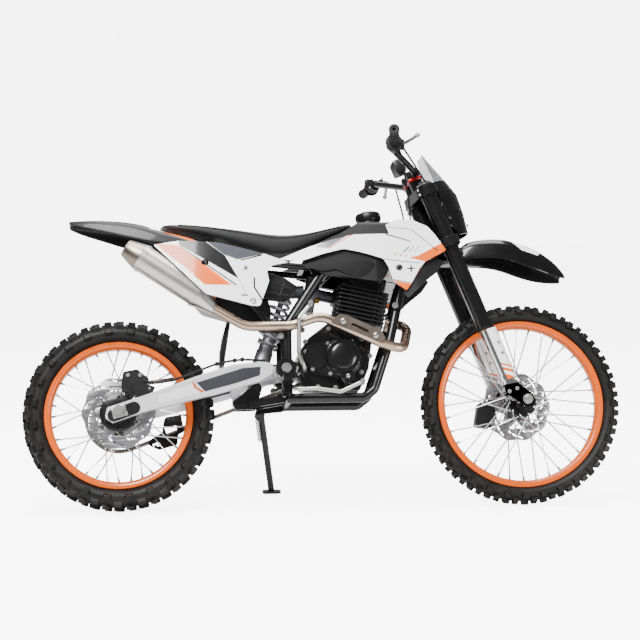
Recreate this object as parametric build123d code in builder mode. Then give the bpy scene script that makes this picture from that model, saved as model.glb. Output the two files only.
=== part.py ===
"""Off-road motorcycle with wire wheels, parked on its side stand.

All pieces are drawn upright: X runs forward from the rear axle, Y to the
rider's left, Z up from the ground. At the end the whole machine is leaned
over onto its side stand and centred over its footprint. Sizes are in mm.
"""

import os
from math import acos, asin, atan2, cos, degrees, hypot, pi, radians, sin, tan
from typing import NamedTuple

from build123d import *

# Layout of the whole machine
WHEELBASE = 1340.0
RAKE = 20.8
LEAN = 15.0
FIT = 0.3
WALL = 4.0
SIDES = (-1, 1)

# Front end, measured along and square to the steering axis
FORK_OFFSET = 28.0
AXLE_LEAD = 33.0
FORK_HALF_SPACING = 105.0
FORK_TUBE_RADIUS = 27.0
FORK_LEG_RADIUS = 23.5
FORK_TUBE_LOW = 275.0
FORK_TUBE_PROUD = 6.0
GUARD_LOW = 84.0
LOWER_CLAMP = 586.0
TOP_CLAMP = 775.0
CLAMP_HALF = 16.0
STEM_RADIUS = 15.0
HEAD_RADIUS = 28.0
HEAD_GAP = 8.0
BAR_RADIUS = 11.1
BAR_HALF = 400.0
BAR_RISE = 59.0
BAR_BEND_RISE = 73.0
BAR_END_RISE = 96.0
BAR_FORWARD = 19.0
BAR_BORE = 8.0
BAR_BORE_DEPTH = 60.0
GRIP_LENGTH = 118.0
GRIP_RADIUS = 16.5

# Heights along the steering axis that follow from the clamps
FORK_TUBE_TOP = TOP_CLAMP + CLAMP_HALF + FORK_TUBE_PROUD
BAR_HEIGHT = TOP_CLAMP + CLAMP_HALF + BAR_RISE

# Wheel carriers
FRONT_AXLE_RADIUS = 10.0
REAR_AXLE_RADIUS = 11.0
BEARING_GAP = 2.0
FRONT_DISC_RADIUS = 118.0
REAR_DISC_RADIUS = 120.0
DISC_THICKNESS = 4.0
SPOKE_COUNT = 36
SPOKE_RADIUS = 2.0
SPOKE_WEAVE = 3.0

# Final drive on the left side
CHAIN_LINE = 72.0
CHAIN_HALF_WIDTH = 8.0
CHAIN_HALF_HEIGHT = 7.0
CHAIN_PITCH_REAR = 108.7
CHAIN_PITCH_FRONT = 33.2
SPROCKET_GAP = 4.0
SPROCKET_TEETH = 43
CHAIN_LINKS = 108
OUTPUT_SHAFT_X = 618.0
OUTPUT_SHAFT_Z = 470.0

# Frame tubes
BEAM_RADIUS = 18.0
CRADLE_RADIUS = 16.0
RAIL_RADIUS = 11.0
FRAME_HALF = 99.5
PIVOT_X = 545.0
PIVOT_Z = 455.0
PIVOT_RADIUS = 20.0
PIVOT_PLATE_HALF = 18.0
SHOCK_LINE = -26.0

# Swingarm
ARM_INNER = 86.0
ARM_OUTER = 120.0
AXLE_SLOT_HALF = 13.0
AXLE_SLOT_LENGTH = 66.0
ARM_RECESS_DEPTH = 2.0

# Engine
CASE_RIGHT = 78.0
CASE_LEFT = 56.0
COVER_DRAFT = 9.0
CYLINDER_TILT = 12.6
CYLINDER_X = 790.0
CYLINDER_Z = 606.0
FIN_COUNT = 9
FIN_PITCH = 14.0
FIN_THICKNESS = 5.0
INTAKE_REACH = 96.0
INTAKE_LINE = 26.0
INTAKE_RISE = 92.0
AIRBOX_FRONT = 478.0
HEADER_RADIUS = 16.0
PIPE_SIDE = 148.0
SILENCER_RADIUS = 46.0
SILENCER_LINE = -118.0

# Bodywork
SHROUD_SLOPE = 0.2
PANEL_SLOPE = 0.25
TANK_TUNNEL = 97.0

# Foot pegs
PEG_LENGTH = 112.0
PEG_X = 548.0
PEG_Z = 412.0

# Side stand
STAND_X = 475.0
STAND_Y = 134.0
STAND_Z = 346.0
STAND_FOOT_X = 522.0
STAND_FOOT_REACH = 345.0
STAND_RADIUS = 11.0
STAND_PIN_RADIUS = 7.0
STAND_BOSS_HALF = 12.0


class Wheel(NamedTuple):
    """Driving sizes of one wire wheel, lateral sizes as half widths."""

    x: float
    tip_radius: float
    tyre_half: float
    rim_radius: float
    rim_half: float
    flange_radius: float
    flange_half: float
    barrel_radius: float
    hub_right: float
    hub_left: float
    axle_radius: float
    rows: int
    lug_length: float


class TreadPoint(NamedTuple):
    """A corner of the tyre profile as shares of half width and height."""

    width: float
    drop: float


TREAD = (
    TreadPoint(0.42, 0.0),
    TreadPoint(0.86, 0.15),
    TreadPoint(1.0, 0.38),
)
LUG_HEIGHT = 13.0
BEAD_DEPTH = 12.0
FRONT = Wheel(
    x=WHEELBASE,
    tip_radius=337.0,
    tyre_half=41.0,
    rim_radius=280.7,
    rim_half=24.0,
    flange_radius=48.0,
    flange_half=36.0,
    barrel_radius=26.0,
    hub_right=56.0,
    hub_left=58.0,
    axle_radius=FRONT_AXLE_RADIUS,
    rows=32,
    lug_length=26.0,
)
REAR = Wheel(
    x=0.0,
    tip_radius=314.0,
    tyre_half=53.0,
    rim_radius=242.6,
    rim_half=30.0,
    flange_radius=62.0,
    flange_half=42.0,
    barrel_radius=32.0,
    hub_right=70.0,
    hub_left=66.0,
    axle_radius=REAR_AXLE_RADIUS,
    rows=24,
    lug_length=34.0,
)


def axle_height(wheel):
    """Height at which the leaned tyre just touches the ground."""
    height = wheel.tip_radius - wheel.rim_radius
    return max(
        wheel.tip_radius - p.drop * height + p.width * wheel.tyre_half * tan(radians(LEAN))
        for p in TREAD
    )


FRONT_Z = axle_height(FRONT)
REAR_Z = axle_height(REAR)
FORWARD = Vector(cos(radians(RAKE)), 0, sin(radians(RAKE)))
UPWARD = Vector(-sin(radians(RAKE)), 0, cos(radians(RAKE)))
STEER_ORIGIN = Vector(FRONT.x, 0, FRONT_Z) - FORWARD * (FORK_OFFSET + AXLE_LEAD)
STEER = Plane(origin=STEER_ORIGIN, x_dir=FORWARD, z_dir=UPWARD)


def steer(forward, lateral, along):
    """Point given forward of, beside and up along the steering axis."""
    return STEER.from_local_coords(Vector(forward, lateral, along))


def side_plane(lateral):
    """Side-view plane at a lateral position; extruding runs to the right."""
    return Plane.XZ.offset(-lateral)


def cross_plane(x):
    """Cross-section plane at x with lateral and height as its axes."""
    return Plane(origin=(x, 0, 0), x_dir=(0, 1, 0), z_dir=(1, 0, 0))


def along_plane(start, end):
    """Plane at start that faces end, and the distance between them."""
    run = Vector(end) - Vector(start)
    return Plane(origin=start, z_dir=run.normalized()), run.length


def wheel_section(wheel, height):
    """Half-plane through the axle with lateral and radial axes."""
    return Plane(origin=(wheel.x, 0, height), x_dir=(0, 1, 0), z_dir=(1, 0, 0))


def wheel_axis(wheel, height):
    """Axle line of a wheel."""
    return Axis((wheel.x, 0, height), (0, 1, 0))


def mirrored(points):
    """A right-hand half profile closed over to the left-hand half."""
    return list(points) + [(-x, y) for x, y in reversed(points)]


def row_plane(wheel, height, row):
    """Section plane through the middle of one row of lugs, the first straight down."""
    angle = pi + 2 * pi * row / wheel.rows
    return Plane(
        origin=(wheel.x, 0, height), x_dir=(0, 1, 0), z_dir=(cos(angle), 0, -sin(angle))
    )


def make_tyre(wheel, height):
    """Tyre in flat facets, each with a lug right across the tread."""
    rise = wheel.tip_radius - wheel.rim_radius
    bead = wheel.rim_half - 4.0 - FIT
    crown, shoulder, flank = [
        (p.width * wheel.tyre_half, wheel.tip_radius - p.drop * rise) for p in TREAD
    ]
    floor = wheel.tip_radius - LUG_HEIGHT
    half_carcass = [
        (wheel.rim_half + 1.0, wheel.rim_radius + 3.0),
        (flank[0] - 1.0, flank[1] - 8.0),
        (crown[0], floor),
    ]
    carcass = half_carcass + [(-lateral, radius) for lateral, radius in reversed(half_carcass)]
    across = Plane(origin=(wheel.x, 0, height), x_dir=(0, 0, -1), z_dir=(0, 1, 0))
    turn = 180 / wheel.rows
    rows = [row_plane(wheel, height, row) for row in range(wheel.rows)]
    half_lug = [(12.0, floor - 10.0), (flank[0] - 9.0, flank[1] - 6.0), shoulder, crown]
    lug = half_lug + [(-lateral, radius) for lateral, radius in reversed(half_lug)]
    with BuildPart() as tyre:
        for lateral, radius in carcass:
            with BuildSketch(across.offset(lateral)):
                RegularPolygon(radius, wheel.rows, major_radius=False, rotation=turn)
        loft(ruled=True)
        with BuildSketch(across):
            RegularPolygon(wheel.rim_radius, wheel.rows, major_radius=False, rotation=turn)
        extrude(amount=wheel.tyre_half, both=True, mode=Mode.SUBTRACT)
        with BuildSketch(across):
            RegularPolygon(wheel.rim_radius + 2.0, wheel.rows, major_radius=False, rotation=turn)
            RegularPolygon(
                wheel.rim_radius - BEAD_DEPTH,
                wheel.rows,
                major_radius=False,
                rotation=turn,
                mode=Mode.SUBTRACT,
            )
        extrude(amount=bead, both=True)
        with BuildSketch(*rows):
            Polygon(*lug, align=None)
        extrude(amount=wheel.lug_length / 2, both=True)
    return tyre.part


def make_rim(wheel, height):
    """Channel rim with upright flanges around the tyre beads."""
    half = wheel.rim_half
    edge = wheel.rim_radius
    profile = [
        (half - 4.0, edge - 12.0 - FIT),
        (half - 4.0, edge),
        (half, edge),
        (half, edge - 17.0),
        (half - 8.0, edge - 24.0),
    ]
    with BuildPart() as rim:
        with BuildSketch(wheel_section(wheel, height)):
            Polygon(*mirrored(profile), align=None)
        revolve(axis=wheel_axis(wheel, height))
    return rim.part


def spoke_planes(wheel, height):
    """Planes at the hub ends of the spokes, and the length they share."""
    planes = []
    inner = wheel.flange_radius - 7.0
    outer = wheel.rim_radius - 24.0 - 4 * FIT
    length = 0.0
    for index in range(SPOKE_COUNT):
        side = 1 if index % 2 == 0 else -1
        lead = 1 if (index // 2) % 2 == 0 else -1
        rim_angle = 2 * pi * index / SPOKE_COUNT
        hub_angle = rim_angle + lead * radians(52)
        foot = Vector(
            wheel.x + inner * cos(hub_angle),
            side * wheel.flange_half + lead * SPOKE_WEAVE,
            height + inner * sin(hub_angle),
        )
        head = Vector(
            wheel.x + outer * cos(rim_angle),
            side * 6.0 + lead * SPOKE_WEAVE / 2,
            height + outer * sin(rim_angle),
        )
        plane, length = along_plane(foot, head)
        planes.append(plane)
    return planes, length


def make_hub(wheel, height):
    """Hub with two spoke flanges, its spokes and a bore around the axle."""
    planes, length = spoke_planes(wheel, height)
    bore = wheel.axle_radius + BEARING_GAP
    barrel = wheel.barrel_radius
    profile = [
        (-wheel.hub_right, bore),
        (-wheel.hub_right, barrel - 4.0),
        (-wheel.flange_half - 4.0, barrel),
        (-wheel.flange_half - 4.0, wheel.flange_radius),
        (-wheel.flange_half + 4.0, wheel.flange_radius),
        (-wheel.flange_half + 14.0, barrel),
        (wheel.flange_half - 14.0, barrel),
        (wheel.flange_half - 4.0, wheel.flange_radius),
        (wheel.flange_half + 4.0, wheel.flange_radius),
        (wheel.flange_half + 4.0, barrel),
        (wheel.hub_left, barrel - 4.0),
        (wheel.hub_left, bore),
    ]
    with BuildPart() as hub:
        with BuildSketch(wheel_section(wheel, height)):
            Polygon(*profile, align=None)
        revolve(axis=wheel_axis(wheel, height))
        with BuildSketch(*planes):
            RegularPolygon(SPOKE_RADIUS, 4)
        extrude(amount=length)
    return hub.part


def make_disc(wheel, height, lateral, radius, arms):
    """Scalloped brake disc on slim arms; its right face is at lateral."""
    plane = Plane(origin=(wheel.x, lateral, height), x_dir=(1, 0, 0), z_dir=(0, 1, 0))
    inner = wheel.axle_radius + 7.0
    ring = radius * 0.76
    with BuildPart() as disc:
        with BuildSketch(plane):
            Circle(radius)
            with PolarLocations(radius + 8.0, 2 * arms):
                Circle(12.0, mode=Mode.SUBTRACT)
            Circle(ring, mode=Mode.SUBTRACT)
            with PolarLocations(radius * 0.45, arms):
                Rectangle(radius * 0.7, 15.0)
            Circle(wheel.barrel_radius - 2.0)
            Circle(inner, mode=Mode.SUBTRACT)
            with PolarLocations((radius + ring) / 2, 3 * arms, start_angle=60.0 / arms):
                Rectangle(13.0, 6.0, rotation=35, mode=Mode.SUBTRACT)
        extrude(amount=DISC_THICKNESS)
    return disc.part


def arch_section(half, top, low, wall):
    """Inverted channel section for mudguards, as lateral and height pairs."""
    shoulder = low + 0.72 * (top - low)
    outer = [(-half, low), (-half * 0.93, shoulder), (-half * 0.6, top)]
    inner = [
        (-half * 0.6 + 0.3 * wall, top - wall),
        (-half * 0.93 + wall, shoulder - 0.5 * wall),
        (-half + wall, low),
    ]
    right = outer + [(half * 0.6, top), (half * 0.93, shoulder), (half, low)]
    left = [(-x, y) for x, y in reversed(inner)]
    return right + left + inner


# Wheels
front_tyre = make_tyre(FRONT, FRONT_Z)
front_rim = make_rim(FRONT, FRONT_Z)
front_hub = make_hub(FRONT, FRONT_Z)
front_disc = make_disc(FRONT, FRONT_Z, FRONT.hub_left, FRONT_DISC_RADIUS, 6)
rear_tyre = make_tyre(REAR, REAR_Z)
rear_rim = make_rim(REAR, REAR_Z)
rear_hub = make_hub(REAR, REAR_Z)
rear_disc = make_disc(REAR, REAR_Z, -REAR.hub_right - DISC_THICKNESS, REAR_DISC_RADIUS, 6)

sprocket_face = Plane(origin=(0, REAR.hub_left, REAR_Z), x_dir=(1, 0, 0), z_dir=(0, 1, 0))
sprocket_tip = CHAIN_PITCH_REAR - CHAIN_HALF_HEIGHT - SPROCKET_GAP
with BuildPart() as rear_sprocket:
    with BuildSketch(sprocket_face):
        Circle(sprocket_tip)
        with PolarLocations(sprocket_tip + 1.0, SPROCKET_TEETH):
            RegularPolygon(5.4, 4, rotation=45, mode=Mode.SUBTRACT)
        Circle(REAR_AXLE_RADIUS + 7.0, mode=Mode.SUBTRACT)
        with PolarLocations(sprocket_tip * 0.66, 6):
            Circle(sprocket_tip * 0.2, mode=Mode.SUBTRACT)
    extrude(amount=2 * (CHAIN_LINE - REAR.hub_left))

# Frame: head tube, twin beams, uprights, down tubes and cradle, all welded
BEAM = ((1036, 14, 945), (770, 72, 862), (668, 76, 775), (548, FRAME_HALF, 592), (548, FRAME_HALF, 362))
CRADLE = (
    (1024, 14, 950),
    (940, 52, 724),
    (893, 90, 548),
    (835, 95, 385),
    (800, 95, 358),
    (548, 95, 358),
)


class CrossTube(NamedTuple):
    """A tube straight across the frame."""

    x: float
    z: float
    half: float
    radius: float


CROSS_TUBES = (
    CrossTube(690, 794, 76, 14),
    CrossTube(566, 622, 92, 14),
    CrossTube(556, 362, 95, 14),
    CrossTube(868, 480, 94, 12),
)
head_low = LOWER_CLAMP + CLAMP_HALF + HEAD_GAP
head_top = TOP_CLAMP - CLAMP_HALF - HEAD_GAP
stand_pivot = Vector(STAND_X, STAND_Y, STAND_Z)
stand_foot = Vector(
    STAND_FOOT_X, STAND_FOOT_REACH * cos(radians(LEAN)), STAND_FOOT_REACH * sin(radians(LEAN))
)
stand_down = (stand_foot - stand_pivot).normalized()
stand_folded = Vector(-0.975, 0.13, 0.18).normalized()
stand_axis = stand_folded.cross(stand_down).normalized()
STAND_SWING = degrees(acos(stand_down.dot(stand_folded)))
stand_inboard = Plane(origin=stand_pivot, z_dir=stand_axis * (1 if stand_axis.Y < 0 else -1))

with BuildPart() as main_frame:
    for side in SIDES:
        with BuildLine():
            beam = FilletPolyline(*[(x, side * y, z) for x, y, z in BEAM], radius=(90, 60, 70))
        with BuildSketch(Plane(beam @ 0, z_dir=beam % 0)):
            Circle(BEAM_RADIUS)
        sweep(path=beam)
        with BuildLine():
            cradle = FilletPolyline(*[(x, side * y, z) for x, y, z in CRADLE], radius=(80, 80, 24, 20))
        with BuildSketch(Plane(cradle @ 0, z_dir=cradle % 0)):
            Circle(CRADLE_RADIUS)
        sweep(path=cradle)
        with BuildSketch(side_plane(side * 85 + 4)):
            Polygon((622, 818), (700, 818), (690, 775), (640, 775), align=None)
        extrude(amount=8)
        with BuildSketch(side_plane(side * 91.5 + 5)):
            Polygon((492, 616), (555, 622), (555, 566), (498, 580), align=None)
        extrude(amount=10)
    for cross in CROSS_TUBES:
        with BuildSketch(side_plane(cross.half)):
            with Locations((cross.x, cross.z)):
                Circle(cross.radius)
        extrude(amount=2 * cross.half)
    for side in SIDES:
        with BuildSketch(side_plane(side * FRAME_HALF + PIVOT_PLATE_HALF)):
            with Locations((PIVOT_X, PIVOT_Z)):
                Circle(34)
        extrude(amount=2 * PIVOT_PLATE_HALF)
    with BuildSketch(side_plane(108)):
        Polygon((455, 332), (470, 378), (545, 400), (562, 350), (545, 340), align=None)
    extrude(amount=16)
    with BuildSketch(stand_inboard.offset(STAND_BOSS_HALF + FIT)):
        Circle(17)
    extrude(amount=16)
    with BuildSketch(stand_inboard.offset(-STAND_BOSS_HALF - 6)):
        Circle(STAND_PIN_RADIUS)
    extrude(amount=2 * STAND_BOSS_HALF + 20)
    with BuildSketch(STEER.offset(head_low)):
        Circle(HEAD_RADIUS)
    extrude(amount=head_top - head_low)
    with BuildSketch(STEER.offset(head_low - 60)):
        Circle(STEM_RADIUS)
    extrude(amount=head_top - head_low + 120, mode=Mode.SUBTRACT)
    with BuildSketch(side_plane(200)):
        with Locations((PIVOT_X, PIVOT_Z)):
            Circle(9 + FIT)
    extrude(amount=400, mode=Mode.SUBTRACT)

# Rear subframe carrying seat and mudguard
RAIL = ((644, 70, 800), (480, 70, 816), (150, 70, 884))
with BuildPart() as subframe:
    for side in SIDES:
        with BuildLine():
            rail = FilletPolyline(*[(x, side * y, z) for x, y, z in RAIL], radius=200)
        with BuildSketch(Plane(rail @ 0, z_dir=rail % 0)):
            Circle(RAIL_RADIUS)
        sweep(path=rail)
        stay, stay_length = along_plane((506, side * 109, 594), (266, side * 72, 858))
        with BuildSketch(stay):
            Circle(RAIL_RADIUS - 1)
        extrude(amount=stay_length)
    for brace_x, brace_z in ((610, 803), (350, 843), (172, 879)):
        with BuildSketch(side_plane(70)):
            with Locations((brace_x, brace_z)):
                Rectangle(16, 8)
        extrude(amount=140)

# Swingarm with axle slots
ARM = (
    (-44, 300),
    (-36, 332),
    (89, 372),
    (247, 429),
    (371, 468),
    (472, 476),
    (500, 470),
    (500, 436),
    (454, 411),
    (287, 366),
    (81, 318),
    (-20, 284),
)
ARM_RECESS = (
    (120, 340),
    (120, 370),
    (247, 416),
    (371, 455),
    (430, 461),
    (430, 417),
    (371, 400),
    (247, 368),
)
with BuildPart() as swingarm:
    for lateral in (ARM_OUTER, -ARM_INNER):
        with BuildSketch(side_plane(lateral)) as arm:
            Polygon(*ARM, align=None)
            fillet(arm.vertices(), 7)
        extrude(amount=ARM_OUTER - ARM_INNER)
    with BuildSketch(side_plane(ARM_INNER)) as brace:
        Polygon((368, 440), (424, 452), (424, 402), (368, 392), align=None)
        fillet(brace.vertices(), 10)
    extrude(amount=2 * ARM_INNER)
    for side in SIDES:
        with BuildSketch(side_plane(side * 66 + 11)):
            Polygon((440, 460), (548, 472), (548, 438), (440, 414), align=None)
        extrude(amount=22)
        with BuildSketch(side_plane(side * 86 + 12)):
            Polygon((440, 460), (500, 466), (500, 436), (440, 414), align=None)
        extrude(amount=24)
    with BuildSketch(side_plane(FRAME_HALF - PIVOT_PLATE_HALF - 1)):
        with Locations((PIVOT_X, PIVOT_Z)):
            Circle(PIVOT_RADIUS)
    extrude(amount=2 * (FRAME_HALF - PIVOT_PLATE_HALF - 1))
    with BuildSketch(side_plane(SHOCK_LINE + 14)):
        Polygon((371, 400), (397, 404), (397, 346), (383, 332), (371, 346), align=None)
    extrude(amount=28)
    with BuildSketch(side_plane(SHOCK_LINE + 40)):
        with Locations((383, 345)):
            Circle(8 + FIT)
    extrude(amount=80, mode=Mode.SUBTRACT)
    with BuildSketch(side_plane(200)):
        with Locations((PIVOT_X, PIVOT_Z)):
            Circle(9 + FIT)
        with Locations((10, REAR_Z)):
            Rectangle(AXLE_SLOT_LENGTH, 2 * AXLE_SLOT_HALF)
    extrude(amount=400, mode=Mode.SUBTRACT)
    for lateral in (ARM_OUTER, ARM_RECESS_DEPTH - ARM_OUTER):
        with BuildSketch(side_plane(lateral)) as recess:
            Polygon(*ARM_RECESS, align=None)
            fillet(recess.vertices(), 6)
        extrude(amount=ARM_RECESS_DEPTH, mode=Mode.SUBTRACT)

with BuildPart() as swingarm_pivot:
    with BuildSketch(side_plane(FRAME_HALF + 26)):
        with Locations((PIVOT_X, PIVOT_Z)):
            Circle(9)
    extrude(amount=2 * (FRAME_HALF + 26))
    for side in SIDES:
        with BuildSketch(side_plane(side * (FRAME_HALF + PIVOT_PLATE_HALF + 5) + 5)):
            with Locations((PIVOT_X, PIVOT_Z)):
                RegularPolygon(17, 6)
        extrude(amount=10)

# Rear axle with the blocks that slide in the slots
with BuildPart() as rear_axle:
    with BuildSketch(side_plane(ARM_OUTER + 14)):
        with Locations((0, REAR_Z)):
            Circle(REAR_AXLE_RADIUS)
    extrude(amount=2 * (ARM_OUTER + 14))
    for side in SIDES:
        middle = side * (ARM_INNER + ARM_OUTER) / 2
        width = ARM_OUTER - ARM_INNER + 4
        with BuildSketch(side_plane(middle + width / 2)):
            with Locations((0, REAR_Z)):
                Rectangle(36, 2 * AXLE_SLOT_HALF - FIT)
        extrude(amount=width)
        with BuildSketch(side_plane(side * (ARM_OUTER + 7) + 5)):
            with Locations((0, REAR_Z)):
                RegularPolygon(17, 6)
        extrude(amount=10)
        inner = (REAR.hub_left if side > 0 else REAR.hub_right) + 2 * DISC_THICKNESS + 4
        with BuildSketch(side_plane(side * (inner + ARM_INNER) / 2 + (ARM_INNER - inner) / 2)):
            with Locations((0, REAR_Z)):
                Circle(REAR_AXLE_RADIUS + 4)
        extrude(amount=ARM_INNER - inner)

# Drive chain: wide and narrow links in turn along the line of its pins
chain_run = hypot(OUTPUT_SHAFT_X, OUTPUT_SHAFT_Z - REAR_Z)
chain_rise = atan2(OUTPUT_SHAFT_Z - REAR_Z, OUTPUT_SHAFT_X)
chain_taper = asin((CHAIN_PITCH_REAR - CHAIN_PITCH_FRONT) / chain_run)
chain_straight = chain_run * cos(chain_taper)
rear_wrap = CHAIN_PITCH_REAR * (pi + 2 * chain_taper)
front_wrap = CHAIN_PITCH_FRONT * (pi - 2 * chain_taper)
chain_length = 2 * chain_straight + rear_wrap + front_wrap


def chain_spot(travel):
    """Place and heading in degrees at a distance along the chain, from the top of the rear."""
    start = chain_rise + pi / 2 - chain_taper
    if travel < chain_straight:
        lead = start - pi / 2
        x = CHAIN_PITCH_REAR * cos(start) + travel * cos(lead)
        z = REAR_Z + CHAIN_PITCH_REAR * sin(start) + travel * sin(lead)
        return x, z, degrees(lead)
    travel -= chain_straight
    if travel < front_wrap:
        turn = start - travel / CHAIN_PITCH_FRONT
        x = OUTPUT_SHAFT_X + CHAIN_PITCH_FRONT * cos(turn)
        z = OUTPUT_SHAFT_Z + CHAIN_PITCH_FRONT * sin(turn)
        return x, z, degrees(turn - pi / 2)
    travel -= front_wrap
    finish = chain_rise - pi / 2 + chain_taper
    if travel < chain_straight:
        lead = finish - pi / 2
        x = OUTPUT_SHAFT_X + CHAIN_PITCH_FRONT * cos(finish) + travel * cos(lead)
        z = OUTPUT_SHAFT_Z + CHAIN_PITCH_FRONT * sin(finish) + travel * sin(lead)
        return x, z, degrees(lead)
    turn = finish - (travel - chain_straight) / CHAIN_PITCH_REAR
    x = CHAIN_PITCH_REAR * cos(turn)
    z = REAR_Z + CHAIN_PITCH_REAR * sin(turn)
    return x, z, degrees(turn - pi / 2)


with BuildPart() as chain:
    link_pitch = chain_length / CHAIN_LINKS
    for first, half_width, half_height in (
        (0, CHAIN_HALF_WIDTH, CHAIN_HALF_HEIGHT),
        (1, CHAIN_HALF_WIDTH - 3.0, CHAIN_HALF_HEIGHT - 1.0),
    ):
        with BuildSketch(side_plane(CHAIN_LINE + half_width)):
            for link in range(first, CHAIN_LINKS, 2):
                x, z, heading = chain_spot((link + 0.5) * link_pitch)
                with Locations((x, z)):
                    Rectangle(1.4 * link_pitch, 2 * half_height, rotation=heading)
        extrude(amount=2 * half_width)

with BuildPart() as chain_guide:
    with BuildSketch(side_plane(ARM_INNER - FIT)) as guide:
        Polygon((114, 328), (152, 340), (166, 256), (134, 232), (104, 240), align=None)
        fillet(guide.vertices(), 8)
        with Locations((120, 262), (130, 280), (140, 298)):
            SlotOverall(24, 8, rotation=-20, mode=Mode.SUBTRACT)
    extrude(amount=2 * (ARM_INNER - FIT - CHAIN_LINE))
    with BuildSketch(side_plane(CHAIN_LINE + CHAIN_HALF_WIDTH + 2)):
        Polygon((60, 306), (200, 318), (200, 200), (60, 200), align=None)
    extrude(amount=2 * (CHAIN_HALF_WIDTH + 2), mode=Mode.SUBTRACT)

# Rear shock absorber and its rocker
shock_top = Vector(558, SHOCK_LINE, 742)
shock_low = Vector(444, SHOCK_LINE, 414)
shock_plane, shock_length = along_plane(shock_low, shock_top)
with BuildPart() as shock_absorber:
    with BuildSketch(shock_plane):
        Circle(13)
    extrude(amount=shock_length)
    with BuildSketch(shock_plane.offset(60)):
        Circle(31)
    extrude(amount=8)
    with BuildSketch(*[shock_plane.offset(76 + 19 * turn) for turn in range(9)]):
        Circle(30)
    extrude(amount=10)
    with BuildSketch(shock_plane.offset(242)):
        Circle(31)
    extrude(amount=70)
    with BuildSketch(side_plane(SHOCK_LINE + 14)):
        with Locations((shock_top.X, shock_top.Z)):
            Circle(18)
    extrude(amount=28)
    with BuildSketch(side_plane(SHOCK_LINE + 14)):
        with Locations((shock_low.X, shock_low.Z)):
            Circle(17)
    extrude(amount=28)
    with BuildSketch(side_plane(SHOCK_LINE + 40)):
        with Locations((shock_low.X, shock_low.Z)):
            Circle(7 + FIT)
    extrude(amount=80, mode=Mode.SUBTRACT)

with BuildPart() as shock_linkage:
    for lateral in (SHOCK_LINE + 24, SHOCK_LINE - 16):
        with BuildSketch(side_plane(lateral)) as rocker:
            Polygon((370, 354), (380, 328), (448, 330), (470, 402), (446, 436), (430, 402), align=None)
            fillet(rocker.vertices(), 7)
        extrude(amount=8)
    for x, z, bolt in ((383, 345, 8), (444, 414, 7)):
        with BuildSketch(side_plane(SHOCK_LINE + 26)):
            with Locations((x, z)):
                Circle(bolt)
        extrude(amount=52)
    for lateral in (SHOCK_LINE + 36, SHOCK_LINE - 26):
        with BuildSketch(side_plane(lateral)) as link:
            Polygon((424, 358), (428, 332), (540, 350), (540, 372), align=None)
        extrude(amount=10)
    with BuildSketch(side_plane(SHOCK_LINE + 36)):
        with Locations((436, 345)):
            Circle(8)
    extrude(amount=72)

# Engine
CASE = (
    (588, 430),
    (604, 390),
    (790, 384),
    (822, 460),
    (836, 560),
    (770, 596),
    (690, 612),
    (622, 560),
    (588, 510),
)
with BuildPart() as crankcase:
    with BuildSketch(side_plane(CASE_LEFT)) as case:
        Polygon(*CASE, align=None)
        fillet(case.vertices(), 12)
    extrude(amount=CASE_LEFT + CASE_RIGHT)
    with BuildSketch(side_plane(CHAIN_LINE + 6)):
        with Locations((OUTPUT_SHAFT_X, OUTPUT_SHAFT_Z)):
            Circle(CHAIN_PITCH_FRONT - CHAIN_HALF_HEIGHT - FIT)
    extrude(amount=CHAIN_LINE + 6 - CASE_LEFT)


class Cover(NamedTuple):
    """A round boss of an engine cover between two lateral positions."""

    x: float
    z: float
    radius: float
    inner: float
    outer: float


RIGHT_BOSSES = (
    Cover(732, 491, 58, 112, 140),
    Cover(644, 493, 40, 112, 122),
    Cover(745, 424, 22, 100, 130),
    Cover(603, 446, 20, CASE_RIGHT, 118),
)
LEFT_BOSSES = (
    Cover(742, 490, 66, CASE_LEFT, 98),
    Cover(742, 490, 50, 98, 116),
)
with BuildPart() as engine_covers:
    with BuildSketch(side_plane(-CASE_RIGHT)):
        with Locations((734, 490)):
            Circle(68)
        with Locations((645, 492)):
            Circle(50)
        make_hull()
    extrude(amount=112 - CASE_RIGHT, taper=COVER_DRAFT)
    for boss in RIGHT_BOSSES:
        with BuildSketch(side_plane(-boss.inner)):
            with Locations((boss.x, boss.z)):
                Circle(boss.radius)
        extrude(amount=boss.outer - boss.inner, taper=COVER_DRAFT)
    with BuildSketch(side_plane(-CASE_RIGHT)):
        with Locations((745, 424)):
            Circle(22)
    extrude(amount=40)
    for boss in LEFT_BOSSES:
        with BuildSketch(side_plane(boss.outer)):
            with Locations((boss.x, boss.z)):
                Circle(boss.radius)
        extrude(amount=boss.outer - boss.inner)
    with BuildSketch(side_plane(98)):
        with Locations((742, 490)):
            Circle(40)
        with Locations((OUTPUT_SHAFT_X, OUTPUT_SHAFT_Z)):
            Circle(34)
        make_hull()
    extrude(amount=98 - CHAIN_LINE - CHAIN_HALF_WIDTH - 5)

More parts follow.
